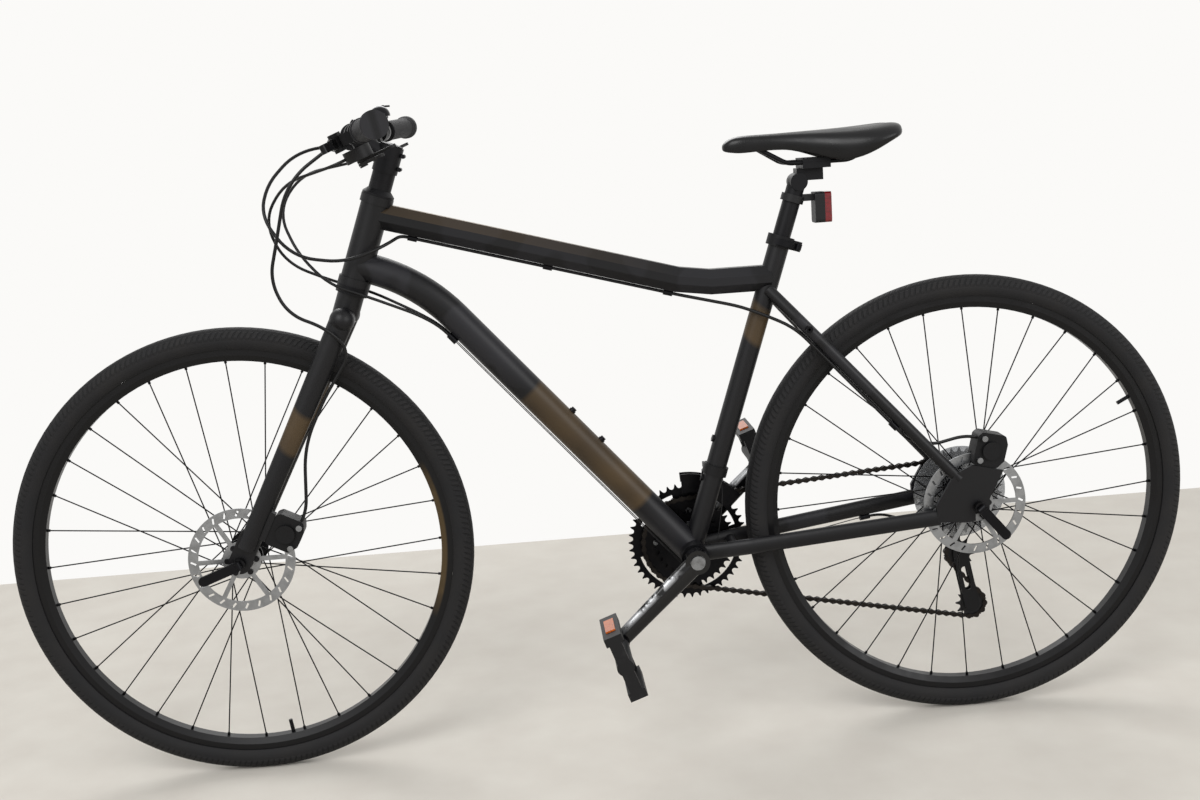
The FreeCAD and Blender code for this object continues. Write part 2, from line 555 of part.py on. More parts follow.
def axle_set(label, axle, across, right_nut, end_thickness):
    """Hollow axle with its two locknuts, the skewer through it, and the skewer's nut and housing."""
    half = float(sheet.evalExpression(across)) / 2
    reach = f"{across} + 2 * axle_overlap"
    bar = ring_piece(f"{label}_bar", "axle_radius", "skewer_bore", reach,
                     axle_placement(axle, -half - size.axle_overlap))
    left_nut = ring_piece(f"{label}_left_locknut", "locknut_radius", "axle_radius + fit_gap",
                          "locknut_length - running_gap",
                          axle_placement(axle, half - size.locknut_length + size.running_gap))
    far_nut = ring_piece(f"{label}_right_locknut", "locknut_radius", "axle_radius + fit_gap",
                         "locknut_length - running_gap", axle_placement(axle, -half))
    outside = half + end_thickness
    skewer_length = f"{across} + 2 * {right_nut} + skewer_nut_length + skewer_end_length"
    skewer = round_piece(f"{label}_skewer", "skewer_radius", skewer_length,
                         axle_placement(axle, -outside - size.skewer_nut_length))
    nut = ring_piece(f"{label}_nut", "skewer_end_radius", "skewer_radius + fit_gap", "skewer_nut_length",
                     axle_placement(axle, -outside - size.skewer_nut_length))
    housing = ring_piece(f"{label}_housing", "skewer_end_radius", "skewer_radius + fit_gap",
                         "skewer_end_length", axle_placement(axle, outside))
    return group_piece(label, bar, left_nut, far_nut, skewer, nut, housing)


def cam_across(across, end_thickness):
    return across / 2 + end_thickness + size.skewer_end_length + size.cam_gap + size.cam_radius


def skewer_lever(label, axle, across, end_thickness, angle):
    """Cam drum and paddle; the drum turns on the outer face of the skewer's housing."""
    drum = Part.makeCylinder(size.cam_radius, size.cam_length, -UP * (size.cam_length / 2), UP)
    heel = AHEAD * (size.paddle_width / 2 - size.cam_radius * CAM_HEEL_SHARE)
    paddle = stadium(heel, AHEAD * size.paddle_length, size.paddle_width / 2,
                     -size.paddle_thickness / 2, size.paddle_thickness / 2)
    spot = side_frame(axle + ACROSS * cam_across(across, end_thickness), angle)
    return free_piece(label, placed(fused(drum, paddle), spot))


CAM_HEEL_SHARE = 0.8


def wheels():
    for name, axle, left, right, right_end, across, inset, rotor_at, valve in (
            ("front", FRONT_AXLE, "front_left_flange", "front_right_flange",
             "(front_locknuts / 2 - locknut_length)", "front_locknuts", "front_rotor_inset", FRONT_ROTOR,
             size.front_valve_angle),
            ("rear", REAR_AXLE, "rear_left_flange", "rear_right_flange",
             "(rear_right_flange + flange_thickness)", "rear_locknuts", "rear_rotor_inset", REAR_ROTOR,
             size.rear_valve_angle)):
        left_at, right_at = getattr(size, left), getattr(size, right)
        hub(f"{name}_hub", axle, right_end, across, left, right, inset)
        free_piece(f"{name}_spokes", *spokes_and_nipples(axle, left_at, right_at))
        rim(f"{name}_rim", axle, left_at, right_at, valve)
        tyre(f"{name}_tyre", axle, valve)
        rotor(f"{name}_rotor", axle, rotor_at)
    ring_piece("spoke_protector", "protector_radius", "freehub_radius + running_gap", "protector_thickness",
               axle_placement(REAR_AXLE, -size.protector_offset - size.protector_thickness))
    axle_set("front_axle", FRONT_AXLE, "front_locknuts", "fork_end_thickness", size.fork_end_thickness)
    axle_set("rear_axle", REAR_AXLE, "rear_locknuts", "dropout_thickness", size.dropout_thickness)
    skewer_lever("front_skewer_lever", FRONT_AXLE, size.front_locknuts, size.fork_end_thickness,
                 size.front_paddle_angle)
    skewer_lever("rear_skewer_lever", REAR_AXLE, size.rear_locknuts, size.dropout_thickness,
                 size.rear_paddle_angle)


# Frame tubes
HEAD_POINT = STEERING.multVec(UP * (HEAD_LOW + size.down_tube_head_rise))
DOWN_CORNER = HEAD_POINT + turned_vector(HALF_TURN + size.down_tube_head_slope) * size.down_tube_neck
DOWN_AXIS = (DOWN_CORNER - BRACKET).normalize()
DOWN_UNDER = DOWN_AXIS.cross(ACROSS) * -1
TOP_FRONT = STEERING.multVec(UP * (HEAD_LOW + size.top_tube_front_rise))
TOP_REAR = BRACKET + SEAT_UP * (size.seat_tube_length - size.top_tube_seat_drop)
TOP_KINK = TOP_REAR + AHEAD * ((TOP_FRONT.x - TOP_REAR.x) * size.top_tube_kink_share)
TOP_AXIS = (TOP_FRONT - TOP_KINK).normalize()
TOP_UNDER = TOP_AXIS.cross(ACROSS) * -1
DROPOUT_LEFT_SHARES = [(0.97, -0.3), (0.3, -0.36), (-0.24, -0.3), (-0.26, 0.18), (-0.59, 0.82), (0.145, 0.998),
                       (0.56, 0.8), (1, 0.09)]
DROPOUT_RIGHT_SHARES = [(0.97, -0.3), (0.3, -0.36), (-0.24, -0.3), (-0.26, 0.18), (0.1, 0.66), (0.36, 0.86),
                        (0.62, 0.74), (1, 0.09)]


def head_solid():
    foot, top = UP * HEAD_LOW, UP * HEAD_HIGH
    rim_step = UP * size.head_rim_height
    return placed(fused(rod(foot, top, size.head_tube_radius), rod(foot, foot + rim_step, size.head_rim_radius),
                        rod(top - rim_step, top, size.head_rim_radius)), STEERING)


def seat_solid():
    return placed(rod(Vector(), UP * size.seat_tube_length, size.seat_tube_radius), SEATING)


def shell_solid():
    half = ACROSS * (size.shell_width / 2)
    return rod(BRACKET - half, BRACKET + half, size.shell_radius)


def down_solid(inset):
    route = [HEAD_POINT, DOWN_CORNER, BRACKET]
    return swept(route, size.down_tube_bend, size.down_tube_radius - inset)


def top_section(centre, along, inset):
    """Faceted section of the top tube, square to the run."""
    rise = along.cross(ACROSS).normalize()
    wide, tall = size.top_tube_width / 2 - inset, size.top_tube_height / 2 - inset
    flat, crease = size.top_tube_flat / 2, size.top_tube_crease / 2
    marks = [(flat, tall), (wide, crease), (wide, -crease), (flat, -tall),
             (-flat, -tall), (-wide, -crease), (-wide, crease), (-flat, tall)]
    corners = [centre + ACROSS * across + rise * up for across, up in marks]
    return Part.makePolygon(corners + corners[:1])


def top_solid(inset):
    level = (TOP_KINK - TOP_REAR).normalize()
    sections = [top_section(TOP_FRONT, TOP_AXIS, inset),
                top_section(TOP_KINK + TOP_AXIS * size.top_tube_blend, TOP_AXIS, inset),
                top_section(TOP_KINK - level * size.top_tube_blend, level, inset),
                top_section(TOP_REAR, level, inset)]
    return Part.makeLoft(sections, True, True)


def bottle_holes():
    """Centres of the two open bottle holes on the front of the seat tube, with their way out."""
    out = ACROSS.cross(SEAT_UP)
    face = size.seat_tube_radius + size.boss_height
    rises = (size.seat_bottle_rise, size.seat_bottle_rise + size.bottle_pitch)
    return [(BRACKET + SEAT_UP * rise + out * face, out) for rise in rises]


def largest(shape):
    return max(shape.Solids, key=lambda solid: solid.Volume)


def main_frame():
    bore, wide = "head_bore_radius", "head_rim_radius"
    head = turned_piece("head_tube", [
        (bore, "0"), (wide, "0"), (wide, "head_rim_height"), ("head_tube_radius", "head_rim_height"),
        ("head_tube_radius", "head_tube_length - head_rim_height"),
        (wide, "head_tube_length - head_rim_height"), (wide, "head_tube_length"), (bore, "head_tube_length")],
        STEERING.multiply(Placement(UP * HEAD_LOW, Rotation())))
    shell = ring_piece("bracket_shell", "shell_radius", "shell_bore_radius", "shell_width",
                       axle_placement(BRACKET, -size.shell_width / 2))
    seat_outer = ring_piece("seat_tube_stock", "seat_tube_radius", "seatpost_radius + fit_gap",
                            "seat_tube_length", SEATING)
    drills = [rod(centre - out * size.seat_tube_radius, centre + out * size.overrun,
                  size.rivnut_radius + size.fit_gap) for centre, out in bottle_holes()]
    seat = cut_piece("seat_tube", seat_outer, free_piece("seat_tube_tools", shell_solid().fuse(drills)))
    joints = head_solid().fuse([seat_solid(), shell_solid()])
    down = down_solid(0).cut(down_solid(size.tube_wall)).cut(joints)
    top = top_solid(0).cut(top_solid(size.tube_wall)).cut(joints)
    group_piece("main_frame", head, shell, seat, free_piece("down_tube", largest(down)),
                free_piece("top_tube", largest(top)))


# Stays and dropouts
def chainstay_route(side):
    reach = REAR_AXLE + AHEAD * size.chainstay_end_reach - UP * size.chainstay_end_drop
    end = reach + ACROSS * side * size.stay_end_spread
    run = (Vector(reach.x, 0, reach.z) - BRACKET).normalize()
    waist = BRACKET + run * size.chainstay_waist_reach + ACROSS * side * size.chainstay_waist
    root = BRACKET + ACROSS * side * size.chainstay_root
    return [root, waist, end]


def seatstay_route(side):
    root = BRACKET + SEAT_UP * (size.seat_tube_length - size.seatstay_root_drop)
    waist = root - AHEAD * size.seatstay_waist_back - UP * size.seatstay_waist_drop
    end = REAR_AXLE + AHEAD * size.seatstay_end_reach + UP * size.seatstay_end_rise
    return [root + ACROSS * side * size.seatstay_root, waist + ACROSS * side * size.seatstay_waist,
            end + ACROSS * side * size.stay_end_spread]


def chainstay_solid(side):
    return swept_oval(chainstay_route(side), size.chainstay_bend, size.chainstay_width / 2,
                      size.chainstay_height / 2)


def seatstay_solid(side):
    return swept(seatstay_route(side), size.seatstay_bend, size.seatstay_radius)


def hanger_point():
    return REAR_AXLE - AHEAD * size.hanger_back - UP * size.hanger_drop


def dropout(side):
    shares = DROPOUT_LEFT_SHARES if side > 0 else DROPOUT_RIGHT_SHARES
    inner = size.rear_locknuts / 2
    low = inner if side > 0 else -inner - size.dropout_thickness
    plate = outline_plate([(x * size.dropout_reach, z * size.dropout_reach) for x, z in shares],
                          size.dropout_thickness)
    plate.translate(REAR_AXLE + ACROSS * low)
    high = low + size.dropout_thickness
    middle = Vector(REAR_AXLE.x, 0, REAR_AXLE.z)
    if side < 0:
        spot = hanger_point()
        plate = fused(plate, stadium(middle, spot, size.hanger_radius, low, high))
        plate = plate.cut(rod(spot + ACROSS * (low - size.overrun), spot + ACROSS * (high + size.overrun),
                              size.hanger_bore_radius))
    slot = stadium(middle, middle - UP * size.dropout_reach, size.axle_radius + size.dropout_slot_gap,
                   low - size.overrun, high + size.overrun)
    return largest(plate.cut(slot))


def seatstay_bridge_share():
    """Share of the way down the seatstay at which its bridge clears the tyre."""
    root, waist, end = seatstay_route(0)
    way, start = end - waist, waist - REAR_AXLE
    room = size.wheel_radius + size.bridge_room
    middle = start.dot(way) / way.dot(way)
    return -middle - math.sqrt(middle ** 2 - (start.dot(start) - room ** 2) / way.dot(way))


def rear_stays():
    joints = seat_solid().fuse(shell_solid())
    shapes = []
    for side in (1, -1):
        end = dropout(side)
        shapes.append(end)
        shapes.append(largest(chainstay_solid(side).cut(joints.fuse(end))))
    for centre, side in rack_boss_spots():
        stay = seatstay_solid(side).cut(joints.fuse(dropout(side)))
        shapes.append(largest(stay.cut(rack_hole(centre, side))))
    for route, share, solid in ((seatstay_route, seatstay_bridge_share(), seatstay_solid),
                                (chainstay_route, size.chainstay_bridge_share, chainstay_solid)):
        root, waist, end = route(1)
        spot = waist + (end - waist) * share
        bar = rod(Vector(spot.x, -spot.y, spot.z), spot, size.bridge_radius)
        shapes.append(largest(bar.cut(solid(1).fuse(solid(-1)))))
    free_piece("rear_stays", *shapes)


# Fittings that are fixed to the frame
TOP_GUIDE_SHARES = (0.13, 0.55, 0.93)
SEATSTAY_GUIDE_SHARE = 0.62
CHAINSTAY_STOP_SHARE = 0.7
RACK_SHARE = 0.04


def top_guide_line(share):
    """Point of the hose line under the top tube; the share runs from its front to its kink."""
    spot = TOP_FRONT + (TOP_KINK - TOP_FRONT) * share
    return spot + TOP_UNDER * (size.top_tube_height / 2 + size.guide_drop)


def down_line(rise, side):
    """Point of a shift wire's line under the down tube, counted from the bracket."""
    return (BRACKET + DOWN_AXIS * rise + DOWN_UNDER * (size.down_tube_radius + size.cable_drop)
            + ACROSS * side * size.cable_spread)


def seatstay_guide():
    root, waist, end = seatstay_route(1)
    along = (end - waist).normalize()
    under = along.cross(ACROSS).normalize()
    spot = waist + (end - waist) * SEATSTAY_GUIDE_SHARE + under * (size.seatstay_radius + size.guide_drop)
    return spot, along


def chainstay_stop():
    root, waist, end = chainstay_route(-1)
    along = (end - waist).normalize()
    spot = waist + (end - waist) * CHAINSTAY_STOP_SHARE - UP * (size.chainstay_height / 2 + size.guide_drop)
    return spot, along


def holder(centre, along, radius, length, bore, host):
    """Round holder on a cable's line, seated against the tube that carries it."""
    half = along * (length / 2)
    return largest(tube(centre - half, centre + half, radius, bore).cut(host))


def rack_boss_spots():
    """Centres of the two open rack holes on the outside of the seatstays."""
    spots = []
    for side in (1, -1):
        root, waist, end = seatstay_route(side)
        spots.append((waist + (end - waist) * RACK_SHARE, side))
    return spots


def rack_hole(centre, side):
    face = centre + ACROSS * side * (size.seatstay_radius + size.rack_boss_length)
    return rod(centre, face + ACROSS * side * size.overrun, size.bottle_hole_radius)


def frame_fittings():
    shapes = []
    hose_bore = size.hose_radius + size.fit_gap
    top_host = top_solid(0)
    for share in TOP_GUIDE_SHARES:
        shapes.append(holder(top_guide_line(share), TOP_AXIS, size.guide_radius, size.guide_length, hose_bore,
                             top_host))
    down_host = down_solid(0)
    for side in (1, -1):
        shapes.append(holder(down_line(size.stop_rise, side), DOWN_AXIS, size.stop_radius, size.stop_length,
                             size.wire_radius + size.fit_gap, down_host))
    spot, along = seatstay_guide()
    shapes.append(holder(spot, along, size.guide_radius, size.guide_length, hose_bore, seatstay_solid(1)))
    spot, along = chainstay_stop()
    shapes.append(holder(spot, along, size.stop_radius, size.stop_length, size.wire_radius + size.fit_gap,
                         chainstay_solid(-1)))
    for rise in (size.bottle_rise, size.bottle_rise + size.bottle_pitch):
        foot = BRACKET + DOWN_AXIS * rise
        face = foot - DOWN_UNDER * (size.down_tube_radius + size.boss_height)
        head = rod(face, face - DOWN_UNDER * size.bolt_head_height, size.bolt_head_radius)
        shapes.append(largest(fused(rod(foot, face, size.boss_radius), head).cut(down_host)))
    seat_host = seat_solid()
    for centre, out in bottle_holes():
        flange = rod(centre - out * size.seat_tube_radius, centre, size.boss_radius).cut(seat_host)
        sleeve = rod(centre - out * size.bottle_hole_depth, centre, size.rivnut_radius)
        hole = rod(centre - out * (size.bottle_hole_depth + size.overrun), centre + out * size.overrun,
                   size.bottle_hole_radius)
        shapes.append(largest(fused(largest(flange), sleeve).cut(hole)))
    for centre, side in rack_boss_spots():
        face = centre + ACROSS * side * (size.seatstay_radius + size.rack_boss_length)
        boss = rod(centre, face, size.boss_radius).cut(seatstay_solid(side))
        shapes.append(largest(boss.cut(rack_hole(centre, side))))
    free_piece("frame_fittings", *shapes)


def steer_placement(rise):
    return STEERING.multiply(Placement(UP * rise, Rotation()))


def headset_and_bracket():
    bore = "steerer_radius + running_gap"
    lower = ring_piece("lower_cup", "cup_radius", bore, "lower_cup_height - running_gap",
                       steer_placement(size.fork_length + size.running_gap))
    upper = turned_piece("upper_cup", [(bore, "0"), ("cup_radius", "0"), ("cup_radius", "upper_cup_height / 3"),
                                       ("upper_cup_top_radius", "upper_cup_height"),
                                       (bore, "upper_cup_height")], steer_placement(HEAD_HIGH + size.fit_gap))
    bearings = [ring_piece(f"bearing_{name}", "head_bore_radius - fit_gap", bore, "bearing_height",
                           steer_placement(rise))
                for name, rise in (("low", HEAD_LOW), ("high", HEAD_HIGH - size.bearing_height))]
    group_piece("headset_cups", lower, upper, *bearings)
    cup_bore = "spindle_radius + running_gap"
    cups = []
    for name, turn in (("left", 1), ("right", -1)):
        spot = Placement(BRACKET + ACROSS * turn * (size.shell_width / 2 - size.cup_outer_length),
                         Rotation(AHEAD, -turn * HALF_TURN / 2))
        cups.append(turned_piece(f"bracket_cup_{name}", [
            (cup_bore, "0"), ("shell_bore_radius - fit_gap", "0"),
            ("shell_bore_radius - fit_gap", "cup_outer_length + fit_gap"),
            ("cup_outer_radius", "cup_outer_length + fit_gap"), ("cup_outer_radius", "2 * cup_outer_length"),
            (cup_bore, "2 * cup_outer_length")], spot))
    group_piece("bottom_bracket", *cups)


# Brake calipers, built about the rotor's own axle
STEEP_SHARE = 0.9
PAD_SHARE = 0.3
CALIPER_SHARES = [(1, -1), (1, 0.76), (0.76, 1), (-0.76, 1), (-1, 0.5), (-1, -0.5), (-0.6, -1)]


def caliper(label, spot, axle_ahead, axle_down, bolt_side):
    """Caliper block in its own frame, its middle at the origin and the rotor's plane at zero across."""
    half_depth, half_height = size.caliper_depth / 2, size.caliper_height / 2
    corners = [Vector(half_depth * ahead, -size.caliper_inner, half_height * up)
               for ahead, up in CALIPER_SHARES]
    face = Part.Face(Part.makePolygon(corners + corners[:1]))
    body = face.extrude(ACROSS * (size.caliper_inner + size.caliper_outer))
    edges = [edge for edge in body.Edges if abs(edge.tangentAt(edge.FirstParameter).y) > STEEP_SHARE]
    body = body.makeFillet(size.caliper_corner, edges)
    centre = Vector(axle_ahead, 0, -axle_down)
    gap = ACROSS * size.caliper_slot
    slot = rod(centre - gap, centre + gap, size.caliper_window)
    piston_foot = ACROSS * size.caliper_outer
    piston = rod(piston_foot, piston_foot + ACROSS * size.piston_height, size.piston_radius)
    shapes = [largest(fused(body, piston).cut(slot))]
    toward = Vector(centre).normalize() * (half_depth * PAD_SHARE)
    for side in (1, -1):
        faces = sorted((side * (size.caliper_slot - size.fit_gap), side * size.pad_gap))
        pad = block(Vector(-size.pad_height / 2, faces[0], -size.pad_width / 2),
                    Vector(size.pad_height / 2, faces[1], size.pad_width / 2))
        pad.translate(toward)
        shapes.append(pad)
        room = block(Vector(-size.pad_height / 2 - size.fit_gap, faces[0] - size.fit_gap,
                            -size.pad_width / 2 - size.fit_gap),
                     Vector(size.pad_height / 2 + size.fit_gap, faces[1] + size.fit_gap,
                            size.pad_width / 2 + size.fit_gap))
        room.translate(toward)
        shapes[0] = largest(shapes[0].cut(room))
        bolt = bolt_side * (half_depth - size.caliper_bolt_inset)
        foot = Vector(bolt, size.caliper_outer, side * (half_height - size.caliper_bolt_inset))
        shapes.append(rod(foot, foot + ACROSS * size.caliper_bolt_height, size.caliper_bolt_radius))
    free_piece(label, *[placed(shape, spot) for shape in shapes])


def leg_axis():
    """Way up a fork leg in the steering frame, and square to it ahead."""
    up = Vector(-size.fork_offset, 0, size.crown_rise).normalize()
    return up, ACROSS.cross(up)


def front_caliper_frame():
    up, ahead = leg_axis()
    centre = (AHEAD * size.fork_offset + up * size.front_caliper_up - ahead * size.front_caliper_back
              + ACROSS * FRONT_ROTOR)
    return STEERING.multiply(frame(centre, ahead, ACROSS, up))


def rear_caliper_frame():
    out = turned_vector(size.rear_caliper_angle)
    centre = REAR_AXLE + out * size.rear_caliper_reach + ACROSS * REAR_ROTOR
    return frame(centre, ACROSS.cross(out), ACROSS, out)


def calipers():
    caliper("front_brake_caliper", front_caliper_frame(), size.front_caliper_back, size.front_caliper_up, -1)
    caliper("rear_brake_caliper", rear_caliper_frame(), 0, size.rear_caliper_reach, 1)


# Fork, stem and handlebar
def fork():
    up, ahead = leg_axis()
    axle = AHEAD * size.fork_offset
    crown = UP * size.crown_rise
    steerer = tube(crown, UP * (STEM_HIGH - size.cap_height), size.steerer_radius, size.steerer_bore)
    race = rod(crown, UP * size.fork_length, size.race_radius)
    half = ACROSS * size.crown_half
    yoke = rod(crown - half, crown + half, size.crown_radius)
    shapes = [race, yoke]
    for side in (1, -1):
        shoulder = crown + half * side
        foot = axle + up * size.leg_foot_rise + ACROSS * side * size.leg_foot_spread
        shapes.append(Part.makeLoft([
            oval_wire(shoulder, ahead * size.leg_top_depth, ACROSS * size.leg_top_width),
            oval_wire(foot, ahead * size.leg_foot_depth, ACROSS * size.leg_foot_width)], True))
        shapes.append(Part.makeSphere(size.shoulder_radius, shoulder))
        inner = size.front_locknuts / 2
        low = inner if side > 0 else -inner - size.fork_end_thickness
        plate = stadium(Vector(), UP * (size.leg_foot_rise + size.fork_end_depth), size.fork_end_depth, low,
                        low + size.fork_end_thickness)
        slot = stadium(Vector(), -UP * size.fork_end_width, size.axle_radius + size.dropout_slot_gap,
                       low - size.overrun, low + size.fork_end_thickness + size.overrun)
        shapes.append(placed(plate.cut(slot), frame(axle, ahead, ACROSS, up)))
    tab_end = size.front_caliper_back - size.caliper_depth / 2 - size.fit_gap
    tab = block(Vector(-tab_end, size.caliper_tab_inner, size.front_caliper_up - size.caliper_tab_height / 2),
                Vector(-size.caliper_tab_start, size.caliper_tab_outer,
                       size.front_caliper_up + size.caliper_tab_height / 2))
    shapes.append(placed(tab, frame(axle, ahead, ACROSS, up)))
    bore = rod(crown + UP * size.leg_top_depth, UP * STEM_HIGH, size.steerer_bore)
    free_piece("fork", placed(largest(fused(steerer, *shapes).cut(bore)), STEERING))


def stem_and_bolts():
    low, high = UP * STEM_LOW, UP * STEM_HIGH
    middle = (low + high) * HALF_SHARE
    half = ACROSS * (size.bar_clamp_width / 2)
    barrel = rod(BAR_LOCAL - half, BAR_LOCAL + half, size.bar_clamp_radius)
    solid = fused(rod(low, high, size.stem_clamp_radius), rod(middle, BAR_LOCAL, size.stem_body_radius), barrel)
    bores = [rod(low - UP * size.overrun, high + UP * size.overrun, size.steerer_radius + size.fit_gap),
             rod(BAR_LOCAL - half * 2, BAR_LOCAL + half * 2, size.bar_centre_radius + size.fit_gap)]
    solid = solid.cut(bores[0]).cut(bores[1])
    side = ACROSS.cross(STEM_AXIS) * -1
    reach = size.stem_length
    solid = solid.cut(rod(high, high + UP * size.cap_height, size.stem_clamp_radius + size.overrun))
    front = placed(block(Vector(0, -reach, -reach), Vector(reach, reach, reach)),
                   frame(BAR_LOCAL, STEM_AXIS, ACROSS, ACROSS.cross(STEM_AXIS) * -1))
    front.translate(STEM_AXIS * (-size.faceplate_gap / 2))
    body = largest(solid.cut(front))
    front.translate(STEM_AXIS * size.faceplate_gap)
    plate = largest(solid.common(front))
    bolts = []
    for across in (size.stem_bolt_spread, -size.stem_bolt_spread):
        for rise in (1, -1):
            head = BAR_LOCAL + ACROSS * across + side * rise * size.stem_bolt_reach
            bolts.append(rod(head, head + STEM_AXIS * size.stem_bolt_spread, size.stem_bolt_radius).cut(solid))
    for rise in (low + (high - low) * BOLT_LOW_SHARE, low + (high - low) * (1 - BOLT_LOW_SHARE)):
        back = rise - AHEAD * (size.stem_clamp_radius + size.stem_bolt_radius * HALF_SHARE)
        bolts.append(rod(back - half * HALF_SHARE, back + half * HALF_SHARE, size.stem_bolt_radius).cut(solid))
    free_piece("stem", *[placed(largest(solid), STEERING) for solid in [body, plate] + bolts])
    bore = "steerer_radius + fit_gap"
    rings = [ring_piece(f"spacer_{name}", "spacer_radius", bore, "spacer_height - fit_gap",
                        steer_placement(SPACERS_LOW + index * size.spacer_height))
             for index, name in enumerate(("low", "high"))]
    cap = turned_piece("stem_cap", [("0", "0"), ("spacer_radius", "0"), ("spacer_radius", "cap_height / 2"),
                                    ("cap_bolt_radius", "cap_height"), ("0", "cap_height")],
                       steer_placement(STEM_HIGH + size.fit_gap))
    group_piece("headset_spacers", *rings, cap)


HALF_SHARE = 0.5
BOLT_LOW_SHARE = 0.25


def bar_point(side, end):
    """Inner bend or outer end of the bar on one side."""
    if not end:
        return BAR_CENTRE + ACROSS * side * size.bar_flat_half
    return BAR_CENTRE + Vector(-size.bar_sweep, side * size.bar_half, size.bar_lift)


def bar_frame():
    """Frame at the left bar end: ahead, outward along the bar, and up."""
    end = bar_point(1, True)
    outward = (end - bar_point(1, False)).normalize()
    ahead = outward.cross(UP).normalize()
    return frame(end, ahead, outward, ahead.cross(outward))


def control_frame():
    return bar_frame().multiply(Placement(Vector(), Rotation(ACROSS, size.control_tilt)))


def handlebar():
    route = [bar_point(-1, True), bar_point(-1, False), bar_point(1, False), bar_point(1, True)]
    half = ACROSS * (size.bar_clamp_width / 2 + size.bar_shoulder)
    sleeve = rod(BAR_CENTRE - half, BAR_CENTRE + half, size.bar_centre_radius)
    outside = fused(swept(route, size.bar_bend, size.bar_radius), sleeve)
    free_piece("handlebar", largest(outside.cut(swept(route, size.bar_bend, size.bar_radius - size.bar_wall))))
    left = bar_frame()
    ahead, outward = left.Rotation.multVec(AHEAD), left.Rotation.multVec(ACROSS)
    bore = "bar_radius + fit_gap"
    grips = []
    for name, mirror in (("left", 1), ("right", -1)):
        along = Vector(-outward.x, -outward.y * mirror, -outward.z)
        first = Vector(ahead.x, ahead.y * mirror, ahead.z)
        start = bar_point(mirror, True) - along * (size.grip_cap + size.fit_gap)
        full = "grip_length"
        grips.append(turned_piece(f"grip_{name}", [
            ("0", "0"), ("grip_end_radius", "0"), ("grip_end_radius", "grip_end_length"),
            ("grip_radius", "2 * grip_end_length"), ("grip_radius", f"{full} - grip_ring_length"),
            ("grip_ring_radius", f"{full} - grip_ring_length"), ("grip_ring_radius", full), (bore, full),
            (bore, "grip_cap"), ("0", "grip_cap")], frame(start, first, along.cross(first), along)))
    group_piece("grips", *grips)


# Controls on the bar, drawn for the left side and mirrored for the right
def both_sides(label, spot, *shapes):
    left = [placed(shape, spot) for shape in shapes]
    return free_piece(label, *left, *[mirrored(shape) for shape in left])


def bar_hole():
    return rod(-ACROSS * size.bar_half, ACROSS * size.overrun, size.bar_radius + size.fit_gap)


def lever_pivot():
    return Vector(size.pivot_out, -size.pivot_at, 0)


def brake_controls():
    spot = control_frame()
    half = ACROSS * (size.clamp_width / 2)
    seat = -ACROSS * size.brake_clamp_at
    ring = rod(seat - half, seat + half, size.clamp_radius)
    tank = seat + AHEAD * size.reservoir_out
    tank_end = tank - ACROSS * size.reservoir_length
    rise = size.pivot_fork_height / 2
    leaf_low = rise - size.pivot_fork_leaf
    neck = block(seat - half - UP * leaf_low, tank + half + UP * leaf_low)
    heel = seat + AHEAD * size.reservoir_out - half
    leaves = [stadium(heel, lever_pivot(), size.pivot_radius, low, high, UP)
              for low, high in ((leaf_low, rise), (-rise, -leaf_low))]
    pivot_room = rod(lever_pivot() - UP * leaf_low, lever_pivot() + UP * leaf_low,
                     size.pivot_radius + 2 * size.running_gap)
    pin = rod(lever_pivot() - UP * rise, lever_pivot() + UP * rise, size.pivot_pin_radius)
    tank_foot = tank - half
    body = fused(ring, rod(tank_foot, tank_end, size.reservoir_radius), neck.cut(pivot_room), *leaves, pin)
    both_sides("brake_lever_bodies", spot, largest(body.cut(bar_hole())))
    boss_half = UP * (leaf_low - size.running_gap)
    boss = rod(lever_pivot() - boss_half, lever_pivot() + boss_half, size.pivot_radius)
    root = Vector(size.lever_root_out, -size.lever_root_at, 0)
    tip = Vector(size.lever_tip_out, -size.lever_tip_at, 0)
    hook = tip + Vector(size.lever_hook, size.lever_hook, 0)
    blade = [stadium(first, last, size.lever_width / 2, -size.lever_height / 2, size.lever_height / 2, UP)
             for first, last in ((lever_pivot(), root), (root, tip), (tip, hook))]
    eye = rod(lever_pivot() - UP * rise, lever_pivot() + UP * rise, size.pivot_pin_radius + size.fit_gap)
    lever = placed(largest(fused(boss, *blade).cut(eye)), spot)
    free_piece("left_brake_lever", lever)
    free_piece("right_brake_lever", mirrored(lever))


def pod_pivot():
    return Vector(size.pod_out, -size.pod_at, 0)


